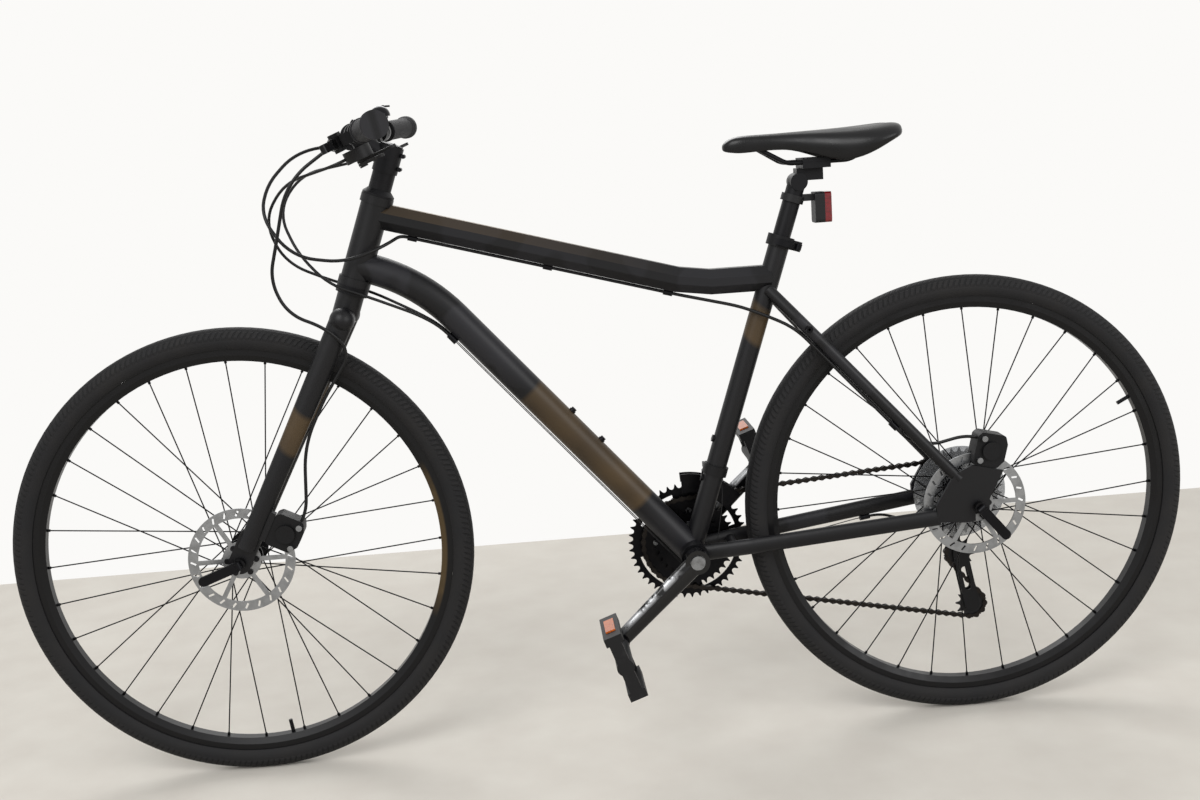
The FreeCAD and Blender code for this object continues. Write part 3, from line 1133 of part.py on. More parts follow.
def shift_controls():
    spot = control_frame()
    half = ACROSS * (size.clamp_width / 2)
    seat = -ACROSS * size.pod_at
    ring = rod(seat - half, seat + half, size.clamp_radius)
    top, floor = -size.pod_drop, -size.pod_drop - size.pod_height
    pod = rod(pod_pivot() + UP * top, pod_pivot() + UP * floor, size.pod_radius)
    neck = block(seat - half - AHEAD * size.bar_radius + UP * top, seat + half + AHEAD * size.bar_radius)
    layer = size.thumb_thickness + size.layer_gap
    pin_end = floor - 2 * layer - size.layer_gap
    pin = rod(pod_pivot() + UP * floor, pod_pivot() + UP * pin_end, size.pod_pin_radius)
    washer = rod(pod_pivot() + UP * pin_end, pod_pivot() + UP * (pin_end - size.thumb_thickness / 2),
                 size.pod_pin_radius + size.thumb_thickness / 2)
    body = fused(ring, pod, neck, pin, washer).cut(bar_hole())
    both_sides("shifter_pods", spot, largest(body))
    eye = rod(pod_pivot(), pod_pivot() + UP * pin_end, size.pod_pin_radius + size.fit_gap)
    for name, index, length, angle in (("thumb", 0, size.thumb_length, size.thumb_angle),
                                       ("release", 1, size.release_length, size.release_angle)):
        high = floor - index * layer - size.layer_gap
        reach = Rotation(UP, angle).multVec(AHEAD) * length
        arm = stadium(pod_pivot(), pod_pivot() + reach, size.thumb_width / 2,
                      high - size.thumb_thickness, high, UP)
        lever = placed(largest(arm.cut(eye)), spot)
        free_piece(f"left_{name}_lever", lever)
        free_piece(f"right_{name}_lever", mirrored(lever))


def bell_frame():
    left = bar_frame()
    return left.multiply(Placement(-ACROSS * size.bell_at, Rotation()))


def striker_pin():
    return Vector(0, size.striker_at, size.bell_lift - size.bell_base_height / 2)


STRIKER_TIP_SHARE = 0.75


def bell_and_striker():
    half = ACROSS * (size.clamp_width / 3)
    ring = rod(-half, half, size.clamp_radius - size.bell_wall)
    floor = UP * (size.bell_lift - size.bell_base_height)
    base = rod(floor, UP * size.bell_lift, size.bell_base_radius)
    post = rod(UP * size.bar_radius, UP * (size.bell_lift + size.bell_radius - size.bell_wall),
               size.bell_post_radius)
    pin = striker_pin()
    ear, eye = size.striker_ear, size.striker_eye_radius
    arm = block(Vector(-2 * ear, 0, floor.z), Vector(2 * ear, pin.y - eye - size.running_gap, size.bell_lift))
    cheeks = [block(Vector(low, 0, floor.z), Vector(low + ear - size.running_gap, pin.y + eye, size.bell_lift))
              for low in (-2 * ear, ear + size.running_gap)]
    axle = rod(pin - AHEAD * (2 * ear), pin + AHEAD * (2 * ear), size.striker_pin_radius)
    body = fused(ring, base, post, arm, *cheeks, axle).cut(
        rod(-ACROSS * size.bell_at, ACROSS * size.bell_at, size.bar_radius + size.fit_gap))
    centre = UP * (size.bell_lift + size.layer_gap)
    dome = Part.makeSphere(size.bell_radius, centre, UP, 0, HALF_TURN / 2, FULL_TURN)
    hollow = Part.makeSphere(size.bell_radius - size.bell_wall, centre, UP, -HALF_TURN / 2, HALF_TURN / 2,
                             FULL_TURN)
    dome = dome.cut(hollow).cut(rod(Vector(), UP * (size.bell_lift + size.bell_radius), size.bell_post_radius
                                    + size.fit_gap))
    spot = bell_frame()
    free_piece("bell", *[mirrored(placed(largest(shape), spot)) for shape in (body, dome)])
    top = pin + UP * size.striker_rise
    hammer = fused(rod(pin - AHEAD * ear, pin + AHEAD * ear, eye),
                   rod(pin, top + UP * size.striker_radius, size.striker_radius),
                   rod(top, top - AHEAD * size.striker_reach, size.striker_radius * STRIKER_TIP_SHARE))
    hammer = hammer.cut(rod(pin - AHEAD * (2 * ear), pin + AHEAD * (2 * ear),
                            size.striker_pin_radius + size.fit_gap))
    free_piece("bell_striker", mirrored(placed(largest(hammer), spot)))


# Chain drive
COG_TEETH = (11, 13, 15, 17, 20, 23, 26, 30, 34)
CHAIN_COG = 26
SEAT_HALF_ANGLE = 62
CHAIN_ROUNDS = 60


def cog_across(teeth):
    return -size.cog_first + COG_TEETH.index(teeth) * size.cog_spacing


def pitch_radius(teeth, pitch):
    return pitch / (2 * math.sin(math.pi / teeth))


def guide_centre():
    return REAR_AXLE - AHEAD * size.guide_back - UP * size.guide_drop_below


def tension_centre():
    return REAR_AXLE - AHEAD * size.tension_back - UP * size.tension_drop


class ChainPath:
    """Loop round the ring, the two pulleys and the cog, counted along the way the chain runs."""

    def __init__(self, pitch):
        self.pitch = pitch
        across = cog_across(CHAIN_COG)
        stops = [("cog", REAR_AXLE, CHAIN_COG, -1, across),
                 ("ring", BRACKET, size.middle_teeth, -1, -size.chain_line),
                 ("tension", tension_centre(), size.pulley_teeth, -1, across),
                 ("guide", guide_centre(), size.pulley_teeth, 1, across)]
        self.stops = [(name, centre, pitch_radius(teeth, pitch), turn, line)
                      for name, centre, teeth, turn, line in stops]
        self.pieces = []
        ways = [self.tangent(self.stops[index - 1], self.stops[index]) for index in range(4)]
        for index, (name, centre, radius, turn, line) in enumerate(self.stops):
            start, leave = ways[index], ways[(index + 1) % 4]
            sweep = math.radians(leave - start)
            sweep = sweep % (2 * math.pi) if turn > 0 else -(-sweep % (2 * math.pi))
            self.pieces.append(("arc", index, start, abs(sweep) * radius))
            self.pieces.append(("run", index, leave, self.run_length(index)))
        self.length = sum(piece[3] for piece in self.pieces)

    def tangent(self, first, second):
        """Heading of the straight run between two wheels, in degrees."""
        gap = second[1] - first[1]
        lean = second[2] * second[3] - first[2] * first[3]
        distance = math.hypot(gap.x, gap.z)
        return math.degrees(math.atan2(gap.z, gap.x) - math.asin(lean / distance))

    def run_length(self, index):
        first, second = self.stops[index], self.stops[(index + 1) % 4]
        gap = second[1] - first[1]
        lean = second[2] * second[3] - first[2] * first[3]
        return math.sqrt(gap.x ** 2 + gap.z ** 2 - lean ** 2)

    def spot(self, travel):
        """Point of the loop at a travelled length, and the wheel it lies on if any."""
        travel = travel % self.length
        for kind, index, heading, extent in self.pieces:
            if travel <= extent:
                break
            travel -= extent
        name, centre, radius, turn, line = self.stops[index]
        if kind == "arc":
            heading = heading + turn * math.degrees(travel / radius)
            side = turned_vector(heading + HALF_TURN / 2) * (radius * turn)
            return Vector(centre.x, line, centre.z) - side, name
        after = self.stops[(index + 1) % 4]
        side = turned_vector(heading + HALF_TURN / 2) * (radius * turn)
        start = Vector(centre.x, line, centre.z) - side
        share = travel / extent
        return start + turned_vector(heading) * travel + ACROSS * ((after[4] - line) * share), None

    def rollers(self):
        """Roller centres, each one pitch from the last, and the travel that the loop needs."""
        travel, points = 0, []
        for index in range(link_count()):
            here = self.spot(travel)
            points.append(here)
            low, high = self.pitch * NEAR_SHARE, self.pitch * FAR_SHARE
            for halving in range(CHAIN_ROUNDS):
                middle = (low + high) / 2
                reached = self.spot(travel + middle)[0].distanceToPoint(here[0]) >= self.pitch
                low, high = (low, middle) if reached else (middle, high)
            travel += (low + high) / 2
        return points, travel


NEAR_SHARE = 0.9
FAR_SHARE = 1.2


def link_count():
    """Even number of links nearest to the loop's length."""
    return 2 * math.ceil(ChainPath(size.chain_pitch).length / size.chain_pitch / 2)


def closed_chain():
    """Chain path whose pitch closes the loop on a whole number of links."""
    low, high = size.chain_pitch * NEAR_SHARE, size.chain_pitch * FAR_SHARE
    for halving in range(CHAIN_HALVINGS):
        middle = (low + high) / 2
        path = ChainPath(middle)
        points, travel = path.rollers()
        low, high = (low, middle) if travel >= path.length else (middle, high)
    return path, points


CHAIN_HALVINGS = 24


def sprocket_outline(teeth, radius, phase):
    """Toothed outline about the origin with a gap at the phase angle."""
    step = FULL_TURN / teeth
    edges = []
    corners = []
    for index in range(int(teeth)):
        angle = phase + index * step
        centre = turned_vector(angle) * radius
        inward = angle + HALF_TURN
        corners.append([centre + turned_vector(inward + SEAT_HALF_ANGLE) * size.roller_seat,
                        centre + turned_vector(inward) * size.roller_seat,
                        centre + turned_vector(inward - SEAT_HALF_ANGLE) * size.roller_seat])
    for index in range(int(teeth)):
        first, second = corners[index], corners[(index + 1) % int(teeth)]
        tooth = phase + (index + 1 / 2) * step
        side = turned_vector(tooth + HALF_TURN / 2) * (size.tooth_tip / 2)
        tip = turned_vector(tooth) * (radius + size.tooth_height)
        edges.append(Part.Arc(*first).toShape())
        edges.append(Part.LineSegment(first[2], tip - side).toShape())
        edges.append(Part.LineSegment(tip - side, tip + side).toShape())
        edges.append(Part.LineSegment(tip + side, second[0]).toShape())
    return Part.Wire(edges)


def phase_on(points, name, centre):
    """Angle of one roller that lies on the named wheel."""
    spot = [point for point, wheel in points if wheel == name][0]
    return math.degrees(math.atan2(spot.z - centre.z, spot.x - centre.x))


def chain(path, points):
    """Inner and outer links by turns along the loop."""
    pitch = path.pitch
    start, end = Vector(), AHEAD * pitch
    gap = size.inner_plate_gap / 2
    bush = size.pin_radius + size.bush_gap
    inner_out = gap + size.plate_thickness
    outer_in = inner_out + size.fit_gap
    outer_out = outer_in + size.plate_thickness
    half_pin = ACROSS * (size.pin_length / 2)
    half_roller = ACROSS * gap
    inner = [stadium(start, end, size.plate_radius, low, high)
             for low, high in ((gap, inner_out), (-inner_out, -gap))]
    inner += [rod(spot - half_roller, spot + half_roller, size.roller_radius) for spot in (start, end)]
    inner_link = fused(*inner)
    for spot in (start, end):
        inner_link = inner_link.cut(rod(spot - half_pin, spot + half_pin, bush))
    outer = [stadium(start, end, size.plate_radius, low, high)
             for low, high in ((outer_in, outer_out), (-outer_out, -outer_in))]
    outer += [rod(spot - half_pin, spot + half_pin, size.pin_radius) for spot in (start, end)]
    links = (largest(inner_link), largest(fused(*outer)))
    spots = [point for point, wheel in points]
    shapes = []
    for index, here in enumerate(spots):
        along = (spots[(index + 1) % len(spots)] - here).normalize()
        up = along.cross(ACROSS).normalize()
        shapes.append(placed(links[index % 2], frame(here, along, up.cross(along), up)))
    free_piece("chain", *shapes)


def chainrings(path, points):
    spacing, thickness = size.ring_spacing, size.ring_thickness
    shapes = []
    bolt_angles = [size.crank_angle + HALF_TURN / 4 + index * HALF_TURN / 2 for index in range(4)]
    phase = phase_on(points, "ring", BRACKET)
    for teeth, offset, circle in ((size.outer_teeth, -spacing, size.ring_bolt_circle),
                                  (size.middle_teeth, 0, size.ring_bolt_circle),
                                  (size.inner_teeth, spacing, size.inner_bolt_circle)):
        holes = [side_circle(Vector(), circle - size.ring_land)]
        for angle in bolt_angles:
            holes.append(side_circle(turned_vector(angle) * circle, size.ring_bolt_radius + size.fit_gap))
            if teeth == size.outer_teeth:
                half = size.ring_window_angle / 2
                holes.append(ring_sector(size.ring_window_inner, size.ring_window_outer, angle + HALF_TURN / 4,
                                         half, half))
        outline = sprocket_outline(teeth, pitch_radius(teeth, path.pitch), phase)
        ring = pierced_plate(outline, holes, thickness)
        ring.translate(BRACKET + ACROSS * (offset - size.chain_line))
        shapes.append(ring)
    spider_low, spider_high = spider_faces()
    for angle in bolt_angles:
        spot = BRACKET + turned_vector(angle) * size.ring_bolt_circle
        far = -size.chain_line - spacing - thickness
        near = thickness - size.chain_line
        shapes.append(rod(spot + ACROSS * far, spot + ACROSS * near, size.ring_bolt_radius))
        spot = BRACKET + turned_vector(angle) * size.inner_bolt_circle
        shapes.append(rod(spot + ACROSS * spider_high,
                          spot + ACROSS * (spacing + thickness - size.chain_line), size.ring_bolt_radius))
    free_piece("chainrings", *shapes)


def spider_faces():
    """Outer and inner face of the spider, between the two larger rings."""
    low = -size.chain_line - size.ring_spacing + size.ring_thickness / 2 + size.fit_gap
    return low, -size.chain_line - size.ring_thickness / 2 - size.fit_gap


def pedal_centre(side):
    """End of a crank, in the middle plane of the bike."""
    return BRACKET + turned_vector(size.crank_angle) * (side * size.crank_length)


def crank_arm():
    """Arm ahead of its own origin on the left side."""
    end = AHEAD * size.crank_length
    boss = rod(ACROSS * size.crank_root, ACROSS * size.crank_face, size.crank_boss_radius)
    tip = rod(end + ACROSS * size.crank_end_inner, end + ACROSS * size.crank_end_face, size.crank_end_radius)
    root_middle = ACROSS * (size.crank_face - size.crank_arm_thickness / 2 - size.fit_gap)
    tip_middle = end + ACROSS * ((size.crank_end_inner + size.crank_end_face) / 2)
    half = ACROSS * (size.crank_arm_thickness / 2 - size.fit_gap)
    bar = Part.makeLoft([oval_wire(root_middle, UP * size.crank_root_depth, half),
                         oval_wire(tip_middle, UP * size.crank_tip_depth, half)], True)
    spindle = rod(Vector(), ACROSS * size.crank_face, size.spindle_radius + size.fit_gap)
    hole = rod(end, end + ACROSS * size.pedal_inner, size.pedal_axle_radius + size.fit_gap)
    return fused(boss, tip, bar).cut(spindle).cut(hole)


def pedal_axle():
    """Axle with its collar, in the end of the left arm."""
    end = AHEAD * size.crank_length
    axle_end = end + ACROSS * (size.pedal_inner + size.pedal_width - size.pedal_rib)
    axle = rod(end + ACROSS * size.crank_end_inner, axle_end, size.pedal_axle_radius)
    collar = rod(end + ACROSS * (size.crank_end_face + size.fit_gap),
                 end + ACROSS * (size.pedal_inner - size.running_gap), size.pedal_collar)
    return fused(axle, collar)


def crank_arms():
    half_spindle = ACROSS * (size.crank_face - size.crank_bolt_height)
    spindle = rod(-half_spindle, half_spindle, size.spindle_radius)
    bore = rod(-half_spindle, half_spindle, size.spindle_radius + size.fit_gap)
    forward = side_frame(Vector(), size.crank_angle)
    backward = side_frame(Vector(), size.crank_angle + HALF_TURN)
    axles = [placed(pedal_axle(), forward), placed(mirrored(pedal_axle()), backward)]
    left = placed(crank_arm(), forward)
    right = placed(mirrored(crank_arm()), backward)
    low, high = spider_faces()
    spider = [rod(ACROSS * low, ACROSS * high, size.spider_hub_radius)]
    for index in range(4):
        angle = size.crank_angle + HALF_TURN / 4 + index * HALF_TURN / 2
        spider.append(stadium(Vector(), turned_vector(angle) * size.ring_bolt_circle, size.spider_end_radius,
                              low, high))
    right = fused(right, *spider).cut(bore)
    face = ACROSS * size.crank_face
    for angle_index in range(4):
        angle = size.crank_angle + HALF_TURN / 4 + angle_index * HALF_TURN / 2
        spot = turned_vector(angle) * size.ring_bolt_circle
        right = right.cut(rod(spot + ACROSS * (low - size.overrun), spot + ACROSS * (high + size.overrun),
                              size.ring_bolt_radius + size.fit_gap))
    caps = [rod(face * side, face * side + ACROSS * side * size.crank_bolt_height, size.crank_bolt_radius)
            for side in (1, -1)]
    recesses = [rod(face * side, face * side + ACROSS * side * size.crank_bolt_radius,
                    size.crank_bolt_radius + size.fit_gap) for side in (1, -1)]
    arms = [largest(left.cut(recesses[0])), largest(right.cut(recesses[1]))]
    spot = Placement(BRACKET, Rotation())
    free_piece("crank_arms", *[placed(shape, spot) for shape in arms + [spindle] + axles + caps])


def pedals():
    low, high = size.pedal_inner, size.pedal_inner + size.pedal_width
    half, tall = size.pedal_length / 2, size.pedal_height / 2
    shapes = [rod(ACROSS * low, ACROSS * high, size.pedal_barrel_radius)]
    for side in (1, -1):
        ends = sorted((side * half, side * (half - size.pedal_bar)))
        shapes.append(block(Vector(ends[0], low, -tall), Vector(ends[1], high, tall)))
    rib = tall * RIB_SHARE
    for start in (low, high - size.pedal_rib):
        shapes.append(block(Vector(-half, start, -rib), Vector(half, start + size.pedal_rib, rib)))
    bore = rod(ACROSS * (low - size.overrun), ACROSS * (high - size.pedal_rib + size.running_gap),
               size.pedal_axle_radius + size.running_gap)
    body = largest(fused(*shapes).cut(bore))
    middle = (low + high) / 2
    reflectors = []
    for side in (1, -1):
        faces = sorted((side * half, side * (half + size.reflector_depth)))
        reflectors.append(block(Vector(faces[0], middle - size.reflector_width / 2, -size.reflector_height / 2),
                                Vector(faces[1], middle + size.reflector_width / 2, size.reflector_height / 2)))
    pieces = [body] + reflectors
    spot = side_frame(pedal_centre(1), size.pedal_angle)
    free_piece("left_pedal", *[placed(shape, spot) for shape in pieces])
    spot = side_frame(pedal_centre(-1), size.pedal_angle)
    free_piece("right_pedal", *[placed(mirrored(shape), spot) for shape in pieces])


RIB_SHARE = 0.7


def cassette(path, points):
    shapes = []
    phase = phase_on(points, "cog", REAR_AXLE)
    bore = size.freehub_radius + size.fit_gap
    gap = size.cog_spacing - size.cog_thickness - 2 * size.fit_gap
    for teeth in COG_TEETH:
        outline = sprocket_outline(teeth, pitch_radius(teeth, path.pitch), phase)
        cog = pierced_plate(outline, [side_circle(Vector(), bore)], size.cog_thickness)
        cog.translate(REAR_AXLE + ACROSS * cog_across(teeth))
        shapes.append(cog)
        if teeth != COG_TEETH[-1]:
            foot = REAR_AXLE + ACROSS * (cog_across(teeth) + size.cog_thickness / 2 + size.fit_gap)
            shapes.append(tube(foot, foot + ACROSS * gap, size.cog_spacer_radius, bore))
    inner_end = -size.rear_right_flange - size.flange_thickness - size.running_gap
    outer_end = -size.rear_locknuts / 2 + size.locknut_length + size.running_gap
    shapes.append(tube(REAR_AXLE + ACROSS * outer_end, REAR_AXLE + ACROSS * inner_end, size.freehub_radius,
                       size.axle_radius + size.running_gap))
    face = -size.cog_first - size.cog_thickness / 2 - size.fit_gap
    shapes.append(tube(REAR_AXLE + ACROSS * (face - size.lockring_height), REAR_AXLE + ACROSS * face,
                       size.lockring_radius + size.cog_thickness, size.locknut_radius + size.cog_thickness))
    free_piece("cassette", *shapes)


# Rear derailleur
def link_points():
    """Upper and lower pivot of the derailleur's link, and the way of its pins."""
    lower = guide_centre() - ACROSS * size.link_lower_across
    upper = (hanger_point() + AHEAD * size.link_upper_ahead - UP * size.link_upper_drop
             - ACROSS * size.link_upper_across)
    pins = Vector(lower.x - upper.x, 0, lower.z - upper.z).cross(ACROSS).normalize()
    return upper, lower, pins


def pin_cheeks(start, end, pins):
    """Two cheeks from a body to a pivot and the pin between them."""
    inner = size.link_width / 2 + size.knuckle_eye_gap
    outer = inner + size.cheek
    cheeks = [stadium(start, end, size.cheek_radius, low, high, pins)
              for low, high in ((inner, outer), (-outer, -inner))]
    return cheeks + [rod(end - pins * outer, end + pins * outer, size.link_pin_radius)]


CAGE_WINDOW_SHARES = (0.32, 0.66)


def rear_derailleur(path, points):
    upper, lower, pins = link_points()
    hang = hanger_point()
    face = -size.rear_locknuts / 2 - size.dropout_thickness - size.fit_gap
    bolt = rod(hang + ACROSS * (face - size.bracket_length), hang + ACROSS * face, size.bracket_radius)
    shank = rod(hang + ACROSS * face, hang + ACROSS * (face + size.dropout_thickness),
                size.hanger_bore_radius - size.fit_gap)
    seat = hang - ACROSS * size.link_upper_across
    bracket = largest(fused(bolt, shank, *pin_cheeks(seat, upper, pins)).cut(dropout(-1)))
    half = size.link_width / 2
    along = (lower - upper).normalize()
    side = along.cross(pins)
    bar = placed(block(Vector(-half, -size.link_thickness / 2, 0),
                       Vector(half, size.link_thickness / 2, upper.distanceToPoint(lower))),
                 frame(upper, pins, along.cross(pins), along))
    eyes = [rod(spot - pins * half, spot + pins * half, size.link_eye_radius) for spot in (upper, lower)]
    link = fused(bar, *eyes)
    for spot in (upper, lower):
        link = link.cut(rod(spot - pins * size.link_width, spot + pins * size.link_width,
                            size.link_pin_radius + size.fit_gap))
    free_piece("rear_derailleur_link", largest(link))
    guide, tension = guide_centre(), tension_centre()
    across = cog_across(CHAIN_COG)
    plate_out = across - size.cage_gap - size.cage_plate
    knuckle_in = plate_out - size.running_gap
    body = rod(guide + ACROSS * knuckle_in, guide - ACROSS * size.knuckle_outer, size.knuckle_radius)
    root = guide + ACROSS * (knuckle_in - size.cheek_radius)
    knuckle = fused(body, *pin_cheeks(root, lower, pins))
    knuckle = knuckle.cut(rod(guide + ACROSS * knuckle_in, guide - ACROSS * (size.knuckle_outer - size.cheek),
                              size.knuckle_pin_radius + size.fit_gap))
    free_piece("rear_derailleur_knuckle", largest(knuckle))
    top, foot = Vector(guide.x, 0, guide.z), Vector(tension.x, 0, tension.z)
    first, last = [top + (foot - top) * share for share in CAGE_WINDOW_SHARES]
    plates = [stadium(top, foot, size.cage_half_width, low, high).cut(
                  stadium(first, last, size.cage_window, low, high))
              for low, high in ((plate_out, plate_out + size.cage_plate),
                                (across + size.cage_gap, across + size.cage_gap + size.cage_plate))]
    near, far = ACROSS * (across + size.cage_gap), ACROSS * (across - size.cage_gap)
    spindles = [rod(spot + far, spot + near, size.cage_pin_radius) for spot in (guide, tension)]
    pivot = rod(guide + ACROSS * plate_out, guide - ACROSS * (size.knuckle_outer - 2 * size.cheek),
                size.knuckle_pin_radius)
    free_piece("rear_derailleur_cage", largest(fused(*plates, *spindles, pivot)))
    for name, centre in (("guide", guide), ("tension", tension)):
        phase = phase_on(points, name, centre)
        outline = sprocket_outline(size.pulley_teeth, pitch_radius(size.pulley_teeth, path.pitch), phase)
        wheel = pierced_plate(outline, [], size.pulley_thickness)
        half_hub = ACROSS * (size.cage_gap - size.running_gap)
        wheel = fused(wheel, rod(-half_hub, half_hub, size.pulley_hub_radius))
        wheel = wheel.cut(rod(-half_hub * 2, half_hub * 2, size.cage_pin_radius + size.fit_gap))
        wheel.translate(centre + ACROSS * across)
        free_piece(f"{name}_pulley", largest(wheel))
    return bracket


# Front derailleur
def front_link_points():
    spot = BRACKET + SEAT_UP * size.band_rise
    upper = Vector(spot.x, -size.front_link_start, spot.z + size.front_link_rise)
    return upper, upper - ACROSS * size.front_link_across - UP * size.front_link_drop


def front_cheeks(point, low_across, high_across, low, high):
    inner = size.front_link_width / 2 + size.running_gap
    outer = inner + size.cheek
    blocks = [block(Vector(point.x + left, low_across, low), Vector(point.x + right, high_across, high))
              for left, right in ((inner, outer), (-outer, -inner))]
    return blocks + [rod(point - AHEAD * outer, point + AHEAD * outer, size.front_pin_radius)]


def front_derailleur(path):
    upper, lower = front_link_points()
    eye = size.front_link_radius
    half = size.band_height / 2
    foot, top = SEAT_UP * (size.band_rise - half), SEAT_UP * (size.band_rise + half)
    band = rod(BRACKET + foot, BRACKET + top, size.band_radius)
    base_face = upper.y + eye + size.running_gap
    outer = size.front_link_width / 2 + size.running_gap + size.cheek
    base = block(Vector(upper.x - outer, base_face, upper.z - eye),
                 Vector(upper.x + outer, base_face + size.front_base_depth, upper.z + eye))
    cheeks = front_cheeks(upper, upper.y - eye, base_face + size.front_base_depth, upper.z - eye, upper.z + eye)
    hole = rod(BRACKET + foot - SEAT_UP * size.overrun, BRACKET + top + SEAT_UP * size.overrun * 2,
               size.seat_tube_radius + size.fit_gap)
    clamp = largest(fused(band, base, *cheeks).cut(hole))
    half_width = AHEAD * (size.front_link_width / 2)
    along = (lower - upper).normalize()
    bar = block(Vector(-half_width.x, -eye / 2, 0),
                Vector(half_width.x, eye / 2, upper.distanceToPoint(lower)))
    bar = placed(bar, frame(upper, AHEAD, along.cross(AHEAD), along))
    link = fused(bar, *[rod(spot - half_width, spot + half_width, eye) for spot in (upper, lower)])
    for spot in (upper, lower):
        link = link.cut(rod(spot - half_width * 2, spot + half_width * 2, size.front_pin_radius + size.fit_gap))
    free_piece("front_derailleur_link", largest(link))
    inner_radius = pitch_radius(size.outer_teeth, path.pitch) + size.tooth_height + size.cage_clear
    outer_radius = inner_radius + size.cage_depth
    middle = (size.cage_start + size.cage_end) / 2
    spread = (size.cage_end - size.cage_start) / 2
    plates = []
    for low_radius, near in ((outer_radius - size.cage_inner_depth, -size.cage_inner_across),
                             (inner_radius, -size.cage_outer_across - size.cage_plate)):
        face = Part.Face(ring_sector(low_radius, outer_radius, middle, spread, spread))
        plate = face.extrude(ACROSS * size.cage_plate)
        plate.translate(BRACKET + ACROSS * near)
        plates.append(plate)
    face = Part.Face(ring_sector(outer_radius - size.cage_plate, outer_radius, middle, spread / 3, spread / 3))
    bridge = face.extrude(ACROSS * (size.cage_outer_across - size.cage_inner_across + size.cage_plate))
    bridge.translate(BRACKET - ACROSS * size.cage_outer_across)
    inner_face = -size.cage_inner_across
    lugs = front_cheeks(lower, inner_face, lower.y + eye, lower.z - size.cage_lug_depth, lower.z + eye)
    free_piece("front_derailleur_cage", largest(fused(*plates, bridge, *lugs)))
    return clamp


def chain_drive():
    path, points = closed_chain()
    chain(path, points)
    chainrings(path, points)
    crank_arms()
    pedals()
    cassette(path, points)
    free_piece("derailleur_brackets", rear_derailleur(path, points), front_derailleur(path))
    print("chain pitch", round(path.pitch, 3), "links", link_count())


# Seat clamp, post, rails, saddle and light
def seat_pivot():
    """Pivot of the seat clamp's lever in the seat tube's own frame, at the middle of the collar."""
    across = size.collar_ear / 2 + size.seat_pivot_radius + size.cam_gap
    rise = size.seat_tube_length - size.collar_height / 2
    return Vector(-size.seat_pivot_back, across, rise)


def seat_clamp():
    low = UP * (size.seat_tube_length - size.collar_height)
    seat_top = UP * (size.seat_tube_length + size.fit_gap)
    top = UP * (size.seat_tube_length + size.collar_lip)
    ring = rod(low, top, size.collar_radius)
    half = size.collar_ear / 2
    back = size.collar_radius + size.collar_ear_length
    ears = block(Vector(-back, -half, low.z), Vector(0, half, size.seat_tube_length))
    bore = rod(low - UP * size.overrun, seat_top, size.seat_tube_radius + size.fit_gap)
    mouth = rod(low, top + UP * size.overrun, size.seatpost_radius + size.running_gap)
    slit = block(Vector(-back - size.overrun, -size.collar_slit / 2, low.z - size.overrun),
                 Vector(0, size.collar_slit / 2, top.z + size.overrun))
    pivot = seat_pivot()
    foot = Vector(pivot.x, -half, pivot.z)
    hole = rod(foot - ACROSS * size.overrun, foot + ACROSS * back, size.seat_bolt_radius + size.fit_gap)
    collar = largest(fused(ring, ears).cut(bore).cut(mouth).cut(slit).cut(hole))
    bolt = rod(foot, Vector(pivot.x, half, pivot.z), size.seat_bolt_radius)
    nut = rod(foot - ACROSS * size.overrun, foot, size.seat_pivot_radius)
    free_piece("seat_clamp_collar", placed(collar, SEATING), placed(fused(bolt, nut), SEATING))
    start = math.degrees(math.atan2(pivot.y, pivot.x))
    half_arc = size.seat_lever_arc / 2
    sector = ring_sector(size.seat_lever_inner, size.seat_lever_outer, start - half_arc, half_arc, half_arc)
    face = Part.Face(sector)
    arm = placed(face.extrude(ACROSS * size.seat_lever_height), Placement(Vector(), AXLE_TURN))
    arm.translate(UP * (pivot.z + size.seat_lever_height / 2))
    half_height = UP * (size.seat_lever_height / 2)
    drum = rod(pivot - half_height, pivot + half_height, size.seat_pivot_radius)
    free_piece("seat_clamp_lever", placed(largest(fused(arm, drum)), SEATING))


def rail_route(side):
    corners = [Vector(size.rail_nose_ahead, side * size.rail_nose_spread, size.rail_nose_lift),
               Vector(size.rail_ahead, side * size.rail_spread, size.rail_lift),
               Vector(-size.rail_back, side * size.rail_spread, size.rail_lift),
               Vector(-size.rail_tail_back, side * size.rail_tail_spread, size.rail_tail_lift)]
    return [POST_TOP + corner for corner in corners]


def rail_solid(side, clearance):
    return swept(rail_route(side), size.rail_bend, size.rail_radius + clearance)


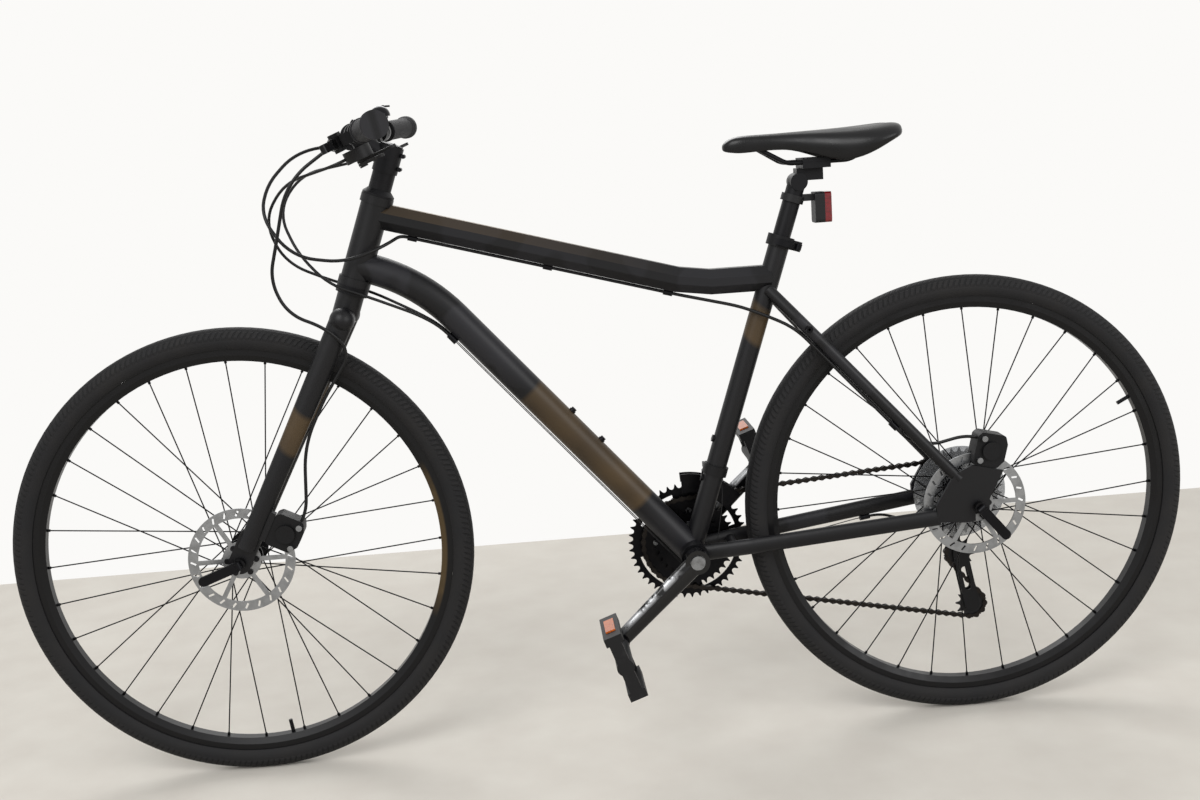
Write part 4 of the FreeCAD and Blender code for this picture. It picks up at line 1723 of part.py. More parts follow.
def seatpost():
    top = UP * (size.seat_tube_length + size.post_exposed)
    foot = top - UP * size.post_length
    post = placed(tube(foot, top, size.seatpost_radius, size.seatpost_radius - size.post_wall), SEATING)
    half = ACROSS * (size.post_head_width / 2)
    head = placed(rod(top - half, top + half, size.post_head_radius), SEATING)
    floor = RAIL_LEVEL - size.cradle_height
    wide = size.cradle_width / 2
    centre = POST_TOP.x - size.cradle_back
    long_half = size.cradle_length / 2
    cradle = block(Vector(centre - long_half, -wide, floor),
                   Vector(centre + long_half, wide, RAIL_LEVEL - size.fit_gap))
    neck = block(Vector(centre - size.post_neck_back, -size.post_neck_width / 2, floor - size.post_neck_height),
                 Vector(centre + size.post_neck_front, size.post_neck_width / 2, floor + size.fit_gap))
    plate = block(Vector(centre - long_half, -wide, RAIL_LEVEL + size.fit_gap),
                  Vector(centre + long_half, wide, RAIL_LEVEL + size.clamp_plate_height))
    rails = rail_solid(1, size.fit_gap).fuse(rail_solid(-1, size.fit_gap))
    bolt_foot = Vector(centre, 0, RAIL_LEVEL - size.clamp_bolt_length)
    bolt_top = Vector(centre, 0, RAIL_LEVEL + size.clamp_plate_height)
    hole = rod(bolt_foot, bolt_top, size.clamp_bolt_radius + size.fit_gap)
    body = largest(fused(post, head, cradle, neck).cut(rails).cut(hole))
    clamp = largest(fused(plate, rod(bolt_foot, bolt_top, size.clamp_bolt_radius)).cut(rails))
    free_piece("seatpost", body, clamp)
    free_piece("saddle_rails", rail_solid(1, 0), rail_solid(-1, 0))


# Stations of the saddle: along its length, half width, crown, side edge and skirt
SADDLE_SHARES = [
    (0.004, 0.129, 0.676, 0.562, 0.41), (0.086, 0.257, 0.867, 0.676, 0.35), (0.28, 0.314, 0.857, 0.638, 0.26),
    (0.459, 0.457, 0.886, 0.562, 0.13), (0.638, 0.786, 0.905, 0.486, -0.105), (0.795, 1, 0.943, 0.524, 0.124),
    (0.933, 0.943, 1, 0.638, 0.524), (0.996, 0.714, 0.943, 0.752, 0.619),
]
SKIRT_SHARE = 0.94


def saddle_cover():
    outer, inner = [], []
    for along, width, crown, side, skirt in SADDLE_SHARES:
        x = POST_TOP.x + size.saddle_nose_ahead - along * size.saddle_length
        wide = width * size.saddle_half_width
        top, edge, low = [RAIL_LEVEL + share * size.saddle_height for share in (crown, side, skirt)]
        marks = [Vector(x, -wide, edge), Vector(x, 0, top), Vector(x, wide, edge),
                 Vector(x, wide * SKIRT_SHARE, low), Vector(x, -wide * SKIRT_SHARE, low)]
        outer.append(Part.Wire([Part.Arc(*marks[:3]).toShape(), Part.LineSegment(marks[2], marks[3]).toShape(),
                                Part.LineSegment(marks[3], marks[4]).toShape(),
                                Part.LineSegment(marks[4], marks[0]).toShape()]))
        narrow = wide * SKIRT_SHARE - size.saddle_skin
        ceiling, floor = top - size.saddle_pad, low - size.overrun
        if ceiling > low and narrow > size.saddle_skin:
            corners = [Vector(x, -narrow, ceiling), Vector(x, narrow, ceiling), Vector(x, narrow, floor),
                       Vector(x, -narrow, floor)]
            inner.append(Part.makePolygon(corners + corners[:1]))
    pad = Part.makeLoft(outer, True).cut(Part.makeLoft(inner, True, True))
    for side in (1, -1):
        pad = pad.cut(rail_solid(side, size.fit_gap))
    free_piece("saddle_cover", largest(pad))


def rear_light():
    rise = size.seat_tube_length + size.post_exposed - size.light_drop
    foot = UP * (rise - size.light_band_height / 2)
    top = UP * (rise + size.light_band_height / 2)
    band = placed(tube(foot, top, size.light_band_radius, size.seatpost_radius + size.fit_gap), SEATING)
    spot = SEATING.multVec(UP * rise)
    half = size.light_width / 2
    front, floor = POST_TOP.x - size.light_back, POST_TOP.z - size.light_below
    case = block(Vector(front - size.light_depth, -half, floor), Vector(front, half, floor + size.light_height))
    edges = [edge for edge in case.Edges if abs(edge.tangentAt(edge.FirstParameter).x) > STEEP_SHARE]
    case = case.makeFillet(size.light_corner, edges)
    lens = block(Vector(front - size.light_depth - size.lens_depth, -half, floor),
                 Vector(front - size.light_depth, half, floor + size.light_height))
    edges = [edge for edge in lens.Edges if abs(edge.tangentAt(edge.FirstParameter).x) > STEEP_SHARE]
    lens = lens.makeFillet(size.light_corner, edges)
    half_width, half_height = size.light_arm_width / 2, size.light_arm_height / 2
    arm = block(Vector(front - size.light_corner, -half_width, spot.z - half_height),
                Vector(spot.x, half_width, spot.z + half_height))
    hole = placed(rod(foot - UP * size.light_height, top + UP * size.light_height,
                      size.seatpost_radius + size.fit_gap), SEATING)
    free_piece("rear_light", largest(fused(band, case, arm).cut(hole)), lens)


# Hoses and cables, their free loops given as shares of the wheel's radius
REAR_HOSE_SHARES = [(1.232, -0.12, 2.72), (1.347, 0.03, 2.59), (1.37, 0.13, 2.464), (1.26, 0.15, 2.29),
                    (1.046, 0.122, 2.25), (0.89, 0.075, 2.3)]
SEAT_PASS_SHARES = [(0.149, 0.04, -0.111), (0.049, 0.072, -0.151)]
FRONT_HOSE_SHARES = [(1.232, 0.28, 2.6), (1.304, 0.235, 2.35), (1.347, 0.213, 2.206), (1.29, 0.208, 2.06),
                     (1.14, 0.203, 1.99), (1.05, 0.16, 1.88), (1.18, 0.152, 1.69), (1.286, 0.152, 1.49)]
LEFT_SHIFT_SHARES = [(1.26, 0.17, 2.593), (1.375, 0.034, 2.436), (1.318, -0.072, 2.249), (1.14, -0.105, 2.16),
                     (0.97, -0.105, 2.1), (0.77, -0.03, 2.0)]
RIGHT_SHIFT_SHARES = [(1.232, -0.172, 2.62), (1.324, -0.034, 2.47), (1.238, 0.086, 2.292), (1.12, 0.11, 2.16),
                      (0.97, 0.105, 2.1), (0.77, 0.03, 2.0)]
FRONT_WIRE_SHARES = [(-0.33, 0.023, 0.772), (-0.46, 0.02, 0.8), (-0.52, -0.03, 1.09), (-0.515, -0.075, 1.165)]
REAR_WIRE_SHARES = [(-0.35, -0.03, 0.768), (-0.58, -0.1, 0.79)]
REAR_LOOP_SHARES = [(-1.43, -0.23, 0.83), (-1.58, -0.285, 0.78), (-1.74, -0.275, 0.84)]
HOSE_OUTLET_SHARE = 0.3
# Places along the seatstay where the hose passes round its inner side, with the angle from below
HOSE_CROSS_SHARES = [(0.72, 45), (0.77, 90), (0.82, 135)]


def marks(shares):
    return [Vector(*share) * size.wheel_radius for share in shares]


def across_mirror(point):
    return Vector(point.x, -point.y, point.z)


def hose_outlet(beyond=0):
    """Inner end of the left brake's reservoir, or a point farther along its axis."""
    back = size.brake_clamp_at + size.reservoir_length + size.fit_gap + beyond
    return control_frame().multVec(Vector(size.reservoir_out, -back, 0))


def pod_outlet(beyond=0):
    """Front of the left shifter pod, or a point farther ahead."""
    middle = -size.pod_drop - size.pod_height / 2
    return control_frame().multVec(pod_pivot() + Vector(size.pod_radius + size.fit_gap + beyond, 0, middle))


def cable(label, points, bend, radius):
    """One cable along its route, its volume compared with section times length."""
    shape = swept(points, bend, radius)
    wire = bent_wire(points, bend)
    arcs = [round(edge.Curve.Radius) for edge in wire.Edges if hasattr(edge.Curve, "Radius")]
    share = shape.Volume / (math.pi * radius ** 2 * wire.Length)
    print(label, "length", round(wire.Length), "arcs", arcs, "volume share", round(share, 3))
    return shape


def rear_hose_route():
    """From the right lever, under the top tube and the left seatstay, to the rear caliper."""
    start = across_mirror(hose_outlet())
    leave = across_mirror(hose_outlet(size.approach))
    first, last = top_guide_line(TOP_GUIDE_SHARES[0]), top_guide_line(TOP_GUIDE_SHARES[-1])
    lead = (last - first).normalize() * size.approach
    root, waist, stay_end = seatstay_route(1)
    spot, along = seatstay_guide()
    reach = along * size.approach
    level = spot - along * spot.distanceToPoint(waist)
    aside = size.seatstay_radius + size.hose_radius + size.crossing_gap
    under = along.cross(ACROSS).normalize()
    corners = []
    for share, turn in HOSE_CROSS_SHARES:
        way = under * math.cos(math.radians(turn)) - ACROSS * math.sin(math.radians(turn))
        corners.append(waist + (stay_end - waist) * share + way * aside)
    caliper_spot = rear_caliper_frame()
    face = Vector(size.caliper_depth / 2 + size.fit_gap, size.caliper_outer / 2,
                  size.caliper_height * HOSE_OUTLET_SHARE)
    end, before_end = caliper_spot.multVec(face), caliper_spot.multVec(face + AHEAD * size.approach)
    return ([start, leave] + marks(REAR_HOSE_SHARES) + [first - lead, first, last, last + lead]
            + [TOP_REAR + mark for mark in marks(SEAT_PASS_SHARES)] + [level, spot - reach, spot, spot + reach]
            + corners + [before_end, end])


def front_hose_route():
    """From the left lever, outside the crown and behind the left leg, to the front caliper."""
    caliper_spot = front_caliper_frame()
    face = Vector(-size.caliper_depth * HOSE_OUTLET_SHARE, size.caliper_outer / 2,
                  size.caliper_height / 2 + size.fit_gap)
    end, before_end = caliper_spot.multVec(face), caliper_spot.multVec(face + UP * size.approach)
    return [hose_outlet(), hose_outlet(size.approach)] + marks(FRONT_HOSE_SHARES) + [before_end, end]


def shift_routes():
    """Routes of the housings and bare wires with their radii."""
    stop_half = size.stop_length / 2 + size.fit_gap
    housing, wire = size.housing_radius, size.wire_radius
    left, left_leave = pod_outlet(), pod_outlet(size.approach)
    right, right_leave = across_mirror(left), across_mirror(left_leave)
    routes = []
    for name, ends, shares, side in (("left shift housing", [left, left_leave], LEFT_SHIFT_SHARES, -1),
                                     ("right shift housing", [right, right_leave], RIGHT_SHIFT_SHARES, 1)):
        stops = [down_line(size.stop_rise + stop_half + extra, side) for extra in (size.approach, 0)]
        routes.append((name, ends + marks(shares) + stops, housing))
    heads = [down_line(size.stop_rise + size.stop_length / 2, side) for side in (1, -1)]
    routes.append(("front shift wire", [heads[0], down_line(0, 1)] + marks(FRONT_WIRE_SHARES), wire))
    spot, along = chainstay_stop()
    low, high = spot - along * size.approach, spot + along * (size.stop_length / 2)
    run = [heads[1], down_line(0, -1)] + marks(REAR_WIRE_SHARES) + [low, high]
    routes.append(("rear shift wire", run, wire))
    face = -size.rear_locknuts / 2 - size.dropout_thickness - size.bracket_length / 2
    end = hanger_point() + ACROSS * face - AHEAD * (size.bracket_radius + size.fit_gap)
    start = spot + along * stop_half
    loop = [start, start + along * size.approach] + marks(REAR_LOOP_SHARES) + [end - AHEAD * size.approach, end]
    routes.append(("rear shift loop", loop, housing))
    return routes


def hoses_and_cables():
    bend = size.wheel_radius
    free_piece("rear_brake_hose", cable("rear brake hose", rear_hose_route(), bend, size.hose_radius))
    free_piece("front_brake_hose", cable("front brake hose", front_hose_route(), bend, size.hose_radius))
    free_piece("shift_cables", *[cable(name, route, bend, radius) for name, route, radius in shift_routes()])


NODES = [
    "main_frame", "rear_stays", "frame_fittings", "headset_cups", "bottom_bracket", "seat_clamp_collar",
    "rear_brake_caliper", "rear_axle", "chain", "rear_brake_hose", "shift_cables", "derailleur_brackets",
    "fork", "headset_spacers", "stem", "handlebar", "grips", "brake_lever_bodies",
    "shifter_pods", "bell", "front_brake_caliper", "front_brake_hose", "front_axle",
    "left_brake_lever", "right_brake_lever", "left_thumb_lever", "right_thumb_lever", "left_release_lever",
    "right_release_lever", "bell_striker", "front_skewer_lever", "rear_skewer_lever", "seat_clamp_lever",
    "front_derailleur_link", "front_derailleur_cage", "rear_derailleur_link", "rear_derailleur_knuckle",
    "rear_derailleur_cage", "guide_pulley", "tension_pulley", "cassette", "left_pedal", "right_pedal",
    "front_hub", "front_spokes", "front_rim", "front_tyre", "front_rotor",
    "rear_hub", "rear_spokes", "rear_rim", "rear_tyre", "rear_rotor", "spoke_protector",
    "crank_arms", "chainrings", "seatpost", "saddle_rails", "saddle_cover", "rear_light",
]


def build_all():
    wheels()
    main_frame()
    rear_stays()
    frame_fittings()
    headset_and_bracket()
    calipers()
    fork()
    stem_and_bolts()
    handlebar()
    brake_controls()
    shift_controls()
    bell_and_striker()
    chain_drive()
    seat_clamp()
    seatpost()
    saddle_cover()
    rear_light()
    hoses_and_cables()


def write_parts():
    doc.recompute()
    for item in doc.Objects:
        if "Invalid" in item.State or "Error" in item.State:
            raise ValueError(f"{item.Label}: {item.State}")
    os.makedirs("parts", exist_ok=True)
    for label in NODES:
        piece = doc.getObjectsByLabel(label)[0]
        if piece.Shape.isNull() or not piece.Shape.isValid():
            raise ValueError(f"{label}: bad shape")
        piece.Shape.exportStep(f"parts/{label}.step")
        print(label, len(piece.Shape.Solids), round(piece.Shape.Volume))


if __name__ == "__main__":
    build_all()
    write_parts()
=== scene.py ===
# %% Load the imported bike
import math

import bmesh
import bpy
from mathutils import Matrix, Vector


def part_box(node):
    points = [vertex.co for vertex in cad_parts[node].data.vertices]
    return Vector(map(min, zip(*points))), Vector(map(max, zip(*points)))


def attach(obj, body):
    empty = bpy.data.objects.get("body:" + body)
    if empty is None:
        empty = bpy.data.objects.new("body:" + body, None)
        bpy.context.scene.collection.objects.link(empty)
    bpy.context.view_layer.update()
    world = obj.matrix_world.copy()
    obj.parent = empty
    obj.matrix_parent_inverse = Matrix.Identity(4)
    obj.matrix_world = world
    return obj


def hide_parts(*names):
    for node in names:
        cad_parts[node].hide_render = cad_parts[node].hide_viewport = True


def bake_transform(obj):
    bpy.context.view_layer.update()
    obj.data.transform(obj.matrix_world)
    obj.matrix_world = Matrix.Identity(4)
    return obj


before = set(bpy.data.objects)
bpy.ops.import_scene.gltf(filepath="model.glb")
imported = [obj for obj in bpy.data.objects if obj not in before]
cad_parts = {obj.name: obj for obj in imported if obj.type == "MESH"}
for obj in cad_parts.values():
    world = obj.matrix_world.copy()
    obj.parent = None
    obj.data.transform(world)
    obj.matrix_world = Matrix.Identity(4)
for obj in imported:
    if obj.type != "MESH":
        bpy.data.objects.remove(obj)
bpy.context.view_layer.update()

# %% [markdown]
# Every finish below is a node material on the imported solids. Colours are written as the
# hex values a painter would note down. Shaders work in linear light, so one function
# converts them. Pattern sizes are real millimetres, turned into the scale of a texture
# that repeats once per metre.

# %% Colour, scale and node helpers
SRGB_KNEE, SRGB_SLOPE, SRGB_LIFT, SRGB_POWER = 0.04045, 12.92, 0.055, 2.4
DARK_SPECULAR = 0.28


def linear(code):
    """sRGB hex value to a linear colour with full alpha."""
    parts = [int(code[start:start + 2], 16) / 255 for start in (1, 3, 5)]
    curve = [part / SRGB_SLOPE if part <= SRGB_KNEE
             else ((part + SRGB_LIFT) / (1 + SRGB_LIFT)) ** SRGB_POWER for part in parts]
    return (*curve, 1.0)


def per_metre(size_mm):
    """Texture scale whose pattern is about that many millimetres across."""
    return 1000 / size_mm


def add(tree, kind, settings=None, **sockets):
    """Adds a node. A socket's name has _ for a space, or is i and a number; outputs are linked."""
    node = tree.nodes.new(kind)
    for name, value in (settings or {}).items():
        setattr(node, name, value)
    for name, value in sockets.items():
        key = int(name[1:]) if name[0] == "i" and name[1:].isdigit() else name.replace("_", " ")
        if isinstance(value, bpy.types.NodeSocket):
            tree.links.new(value, node.inputs[key])
        else:
            node.inputs[key].default_value = value
    return node


def begin(name, colour, roughness, metallic=0.0, **more):
    """New material with its constant values set on the shader's own sockets."""
    material = bpy.data.materials.new(name)
    material.use_nodes = True
    tree = material.node_tree
    shader = tree.nodes["Principled BSDF"]
    values = {"Base Color": linear(colour), "Roughness": roughness, "Metallic": metallic,
              "Specular IOR Level": DARK_SPECULAR, **more}
    for socket, value in values.items():
        shader.inputs[socket].default_value = value
    material.diffuse_color = linear(colour)
    return material, tree, shader


print("mid grey in linear light", round(linear("#808080")[0], 4))

# %% [markdown]
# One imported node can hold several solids, such as a caliper with its pads and bolts. A
# solid is an island of the mesh, and the real pieces have different finishes, so this
# helper sorts the faces into islands and gives each island its own material slot. The
# vertices aren't touched.

# %% Dress a node, solid by solid
JOIN_DIGITS = 6


def solids_of(mesh):
    """Faces of each separate solid in a mesh, with its low and high corners, largest first."""
    places, root = {}, []

    def find(index):
        while root[index] != index:
            root[index] = root[root[index]]
            index = root[index]
        return index

    ids = []
    for vertex in mesh.vertices:
        key = tuple(round(value, JOIN_DIGITS) for value in vertex.co)
        if key not in places:
            places[key] = len(root)
            root.append(len(root))
        ids.append(places[key])
    for face in mesh.polygons:
        first = find(ids[face.vertices[0]])
        for vertex in face.vertices[1:]:
            root[find(ids[vertex])] = first
    groups = {}
    for face in mesh.polygons:
        groups.setdefault(find(ids[face.vertices[0]]), []).append(face.index)
    solids = []
    for faces in groups.values():
        corners = [mesh.vertices[vertex].co
                   for face in faces for vertex in mesh.polygons[face].vertices]
        low = Vector([min(corner[axis] for corner in corners) for axis in range(3)])
        high = Vector([max(corner[axis] for corner in corners) for axis in range(3)])
        solids.append((faces, low, high))
    return sorted(solids, key=lambda solid: (solid[1] - solid[2]).length, reverse=True)


def dress(node, *materials, pick=None):
    """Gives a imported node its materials; pick chooses one by a solid's number and corners."""
    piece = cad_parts[node]
    piece.data.materials.clear()
    for material in materials:
        piece.data.materials.append(material)
    if pick:
        for order, (faces, low, high) in enumerate(solids_of(piece.data)):
            for face in faces:
                piece.data.polygons[face].material_index = pick(order, low, high)
    return piece


def smaller_than(limit):
    """Picks the second material for solids whose longest side is under the limit, in metres."""
    return lambda order, low, high: 1 if max(high - low) < limit else 0


print("dressing helpers ready")

# %% [markdown]
# The frame is welded aluminium tube with a satin black powder coat. Over the black it
# carries soft grey smoke shapes, printed under the clear coat, and a few bronze areas. A
# picture wrapped round the tubes would do it too, but noise in the frame's own space
# gives shapes that run on from tube to tube and need no picture.

# %% Powder coated frame paint
COAT_GRAIN_MM = 4
SMOKE_MM = 75
SMOKE_FIELD_MM = 320
BLACK_COAT, GREY_SMOKE, BRONZE_COAT, BRONZE_TOP_HIGHLIGHT = "#0b0b0e", "#1d1d21", "#453724", "#735d3d"
BAND_BLUR = 0.004


def frame_paint(name, smoke=1.0, bands=(), top_highlight=None):
    """Satin black coat with smoke; a band is a bronze stretch's start, way and length in metres."""
    material, tree, shader = begin(name, BLACK_COAT, roughness=0.42)
    place = add(tree, "ShaderNodeTexCoord").outputs["Object"]
    shapes = add(tree, "ShaderNodeTexNoise", Vector=place, Scale=per_metre(SMOKE_MM), Detail=1.5,
                 Roughness=0.4)
    field = add(tree, "ShaderNodeTexNoise", Vector=place, Scale=per_metre(SMOKE_FIELD_MM),
                Detail=0.0)
    cut = add(tree, "ShaderNodeMapRange", Value=shapes.outputs["Fac"], From_Min=0.5, From_Max=0.54)
    where = add(tree, "ShaderNodeMapRange", Value=field.outputs["Fac"], From_Min=0.42,
                From_Max=0.56, To_Max=smoke)
    both = add(tree, "ShaderNodeMath", {"operation": "MULTIPLY"}, i0=cut.outputs[0],
               i1=where.outputs[0])
    colour = add(tree, "ShaderNodeMix", {"data_type": "RGBA"}, i0=both.outputs[0],
                 i6=linear(BLACK_COAT), i7=linear(GREY_SMOKE)).outputs[2]
    for start, way, length in bands:
        way = Vector(way).normalized()
        offset = add(tree, "ShaderNodeVectorMath", {"operation": "SUBTRACT"}, i0=place, i1=start)
        along = add(tree, "ShaderNodeVectorMath", {"operation": "DOT_PRODUCT"},
                    i0=offset.outputs[0], i1=way)
        rise = add(tree, "ShaderNodeMapRange", Value=along.outputs["Value"], From_Min=-BAND_BLUR,
                   From_Max=BAND_BLUR)
        fall = add(tree, "ShaderNodeMapRange", Value=along.outputs["Value"],
                   From_Min=length + BAND_BLUR, From_Max=length - BAND_BLUR)
        inside = add(tree, "ShaderNodeMath", {"operation": "MULTIPLY"}, i0=rise.outputs[0],
                     i1=fall.outputs[0])
        broken_by_noise = add(tree, "ShaderNodeMapRange", Value=shapes.outputs["Fac"], From_Min=0.3,
                   From_Max=0.6, To_Min=0.55)
        share = add(tree, "ShaderNodeMath", {"operation": "MULTIPLY"}, i0=inside.outputs[0],
                    i1=broken_by_noise.outputs[0])
        colour = add(tree, "ShaderNodeMix", {"data_type": "RGBA"}, i0=share.outputs[0], i6=colour,
                     i7=linear(BRONZE_COAT)).outputs[2]
    # The top tube's upward faces get a lighter bronze: a painted highlight over its bronze fade.
    if top_highlight:
        low_x, high_x = top_highlight
        normal = add(tree, "ShaderNodeSeparateXYZ",
                     Vector=add(tree, "ShaderNodeTexCoord").outputs["Normal"])
        spot = add(tree, "ShaderNodeSeparateXYZ", Vector=place)
        upward = add(tree, "ShaderNodeMapRange", Value=normal.outputs["Z"], From_Min=0.55,
                     From_Max=0.85)
        fade = add(tree, "ShaderNodeMapRange", Value=spot.outputs["X"], From_Min=low_x,
                   From_Max=high_x)
        share = add(tree, "ShaderNodeMath", {"operation": "MULTIPLY"}, i0=upward.outputs[0],
                    i1=fade.outputs[0])
        colour = add(tree, "ShaderNodeMix", {"data_type": "RGBA"}, i0=share.outputs[0], i6=colour,
                     i7=linear(BRONZE_TOP_HIGHLIGHT)).outputs[2]
    tree.links.new(colour, shader.inputs["Base Color"])
    grain = add(tree, "ShaderNodeTexNoise", Vector=place, Scale=per_metre(COAT_GRAIN_MM),
                Detail=2.0)
    bump = add(tree, "ShaderNodeBump", Strength=0.05, Distance=0.0004, Height=grain.outputs["Fac"])
    tree.links.new(bump.outputs[0], shader.inputs["Normal"])
    return material


bracket = (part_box("bottom_bracket")[0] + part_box("bottom_bracket")[1]) / 2
DOWN_WAY = (0.652, 0.0, 0.758)
PANEL_START, PANEL_LENGTH = 0.115, 0.245
SEAT_WAY, SEAT_PATCH_WAY = (-0.319, 0.0, 0.948), (-0.6, 0.3, 0.75)
SEAT_PATCH, SEAT_PATCH_LENGTH = 0.345, 0.05
# Span along the top tube of the painted highlight on its upward faces.
TOP_HIGHLIGHT_REAR, TOP_HIGHLIGHT_FRONT = -0.12, 0.26
FORK_STREAK, FORK_STREAK_WAY, FORK_STREAK_LENGTH = (0.455, 0.058, 0.575), (0.62, -0.35, -0.7), 0.055
down_paint = frame_paint("down_tube_powder_coat", bands=[
    (bracket + Vector(DOWN_WAY) * PANEL_START, DOWN_WAY, PANEL_LENGTH)])
top_paint = frame_paint("top_tube_powder_coat", smoke=0.6, top_highlight=(TOP_HIGHLIGHT_REAR, TOP_HIGHLIGHT_FRONT))
seat_paint = frame_paint("seat_tube_powder_coat", smoke=0.0, bands=[
    (bracket + Vector(SEAT_WAY) * SEAT_PATCH, SEAT_PATCH_WAY, SEAT_PATCH_LENGTH)])
plain_paint = frame_paint("plain_powder_coat", smoke=0.0)
stay_paint = frame_paint("stay_powder_coat", smoke=0.9)
fork_paint = frame_paint("fork_powder_coat", smoke=0.8, bands=[
    (FORK_STREAK, FORK_STREAK_WAY, FORK_STREAK_LENGTH)])
LONG_SPAN, STEEP_SPAN, TALL_SPAN = 0.3, 0.35, 0.3


def frame_tube(order, low, high):
    """Material of each frame tube by its reach: down, top, seat and the two short ones."""
    span = high - low
    if span.x > LONG_SPAN and span.z > STEEP_SPAN:
        return 0
    if span.x > LONG_SPAN:
        return 1
    return 2 if span.z > TALL_SPAN else 3


dress("main_frame", down_paint, top_paint, seat_paint, plain_paint, pick=frame_tube)
dress("rear_stays", stay_paint, plain_paint,
      pick=lambda order, low, high: 0 if (high - low).x > LONG_SPAN else 1)
dress("fork", fork_paint)
for order, (faces, low, high) in enumerate(solids_of(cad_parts["main_frame"].data)):
    print("frame solid", order, [round(value, 3) for value in (*low, *high)],
          frame_tube(order, low, high))

# %% [markdown]
# Bars, stem, post, hubs, rims and small brackets are anodised aluminium. The dyed oxide
# layer is thin, so the metal's gloss shows through a dark colour, with faint draw lines.
# Stretched noise gives those lines without any image.

# %% Anodised and painted black metal
DRAW_LINE_MM = 2.5
HANDLING_MM = 28
GRIME_MM = 14
RIM_BLACK, GRIME = "#0c0c0e", "#2c2a28"
BAR_BOLT, CALIPER_BOLT, ROTOR_BOLT, RING_BOLT = 0.02, 0.0135, 0.03, 0.03


def black_metal(name, colour, roughness, metallic, stretch=(1.0, 1.0, 1.0)):
    material, tree, shader = begin(name, colour, roughness, metallic)
    place = add(tree, "ShaderNodeTexCoord").outputs["Object"]
    drawn = add(tree, "ShaderNodeMapping", Vector=place, Scale=stretch)
    lines = add(tree, "ShaderNodeTexNoise", Vector=drawn.outputs[0], Scale=per_metre(DRAW_LINE_MM),
                Detail=2.0)
    marks = add(tree, "ShaderNodeTexNoise", Vector=place, Scale=per_metre(HANDLING_MM), Detail=4.0)
    gloss = add(tree, "ShaderNodeMapRange", Value=marks.outputs["Fac"], From_Min=0.3, From_Max=0.7,
                To_Min=roughness - 0.08, To_Max=roughness + 0.1)
    bump = add(tree, "ShaderNodeBump", Strength=0.06, Distance=0.0003, Height=lines.outputs["Fac"])
    tree.links.new(gloss.outputs[0], shader.inputs["Roughness"])
    tree.links.new(bump.outputs[0], shader.inputs["Normal"])
    return material


anodised = black_metal("black_anodised_aluminium", "#111114", roughness=0.36, metallic=0.6)
bar_black = black_metal("bead_blasted_bar_black", "#0f0f12", roughness=0.45, metallic=0.4,
                        stretch=(1.0, 0.2, 1.0))
rim_black = black_metal("painted_rim_black", RIM_BLACK, roughness=0.34, metallic=0.2)
cast_black = black_metal("cast_caliper_black", "#0f0f11", roughness=0.5, metallic=0.3)
lever_black = black_metal("painted_lever_black", "#131315", roughness=0.32, metallic=0.4)
spoke_black = black_metal("black_steel_spoke", "#101012", roughness=0.35, metallic=0.7)
bell_black = black_metal("bell_dome_black", "#1d1d20", roughness=0.22, metallic=0.7)


def steel(name, colour, roughness, grain_mm, dirt):
    """Bright steel with fine grinding grain and a little grey grime in broad patches."""
    material, tree, shader = begin(name, colour, roughness, 1.0)
    place = add(tree, "ShaderNodeTexCoord").outputs["Object"]
    grain = add(tree, "ShaderNodeTexNoise", Vector=place, Scale=per_metre(grain_mm), Detail=3.0)
    grime = add(tree, "ShaderNodeTexNoise", Vector=place, Scale=per_metre(GRIME_MM), Detail=3.0)
    share = add(tree, "ShaderNodeMapRange", Value=grime.outputs["Fac"], From_Min=0.42,
                From_Max=0.72, To_Max=dirt)
    tint = add(tree, "ShaderNodeMix", {"data_type": "RGBA"}, i0=share.outputs[0], i6=linear(colour),
               i7=linear(GRIME))
    gloss = add(tree, "ShaderNodeMapRange", Value=grain.outputs["Fac"], From_Min=0.3, From_Max=0.7,
                To_Min=roughness - 0.08, To_Max=roughness + 0.12)
    bump = add(tree, "ShaderNodeBump", Strength=0.08, Distance=0.0002, Height=grain.outputs["Fac"])
    tree.links.new(tint.outputs[2], shader.inputs["Base Color"])
    tree.links.new(gloss.outputs[0], shader.inputs["Roughness"])
    tree.links.new(bump.outputs[0], shader.inputs["Normal"])
    return material


bolt_steel = steel("zinc_plated_bolt_steel", "#8d8f92", roughness=0.32, grain_mm=1.5, dirt=0.5)
black_bolt = steel("black_oxide_bolt_steel", "#2a2a2c", roughness=0.38, grain_mm=1.5, dirt=0.3)
rotor_steel = steel("ground_rotor_steel", "#96989b", roughness=0.34, grain_mm=1.2, dirt=0.25)
cog_steel = steel("nickel_plated_cog_steel", "#77787a", roughness=0.35, grain_mm=2.0, dirt=0.7)
chain_steel = steel("oiled_chain_steel", "#2e2b29", roughness=0.36, grain_mm=1.6, dirt=0.6)
ring_steel = steel("black_chainring_steel", "#1b1b1d", roughness=0.38, grain_mm=2.5, dirt=0.2)

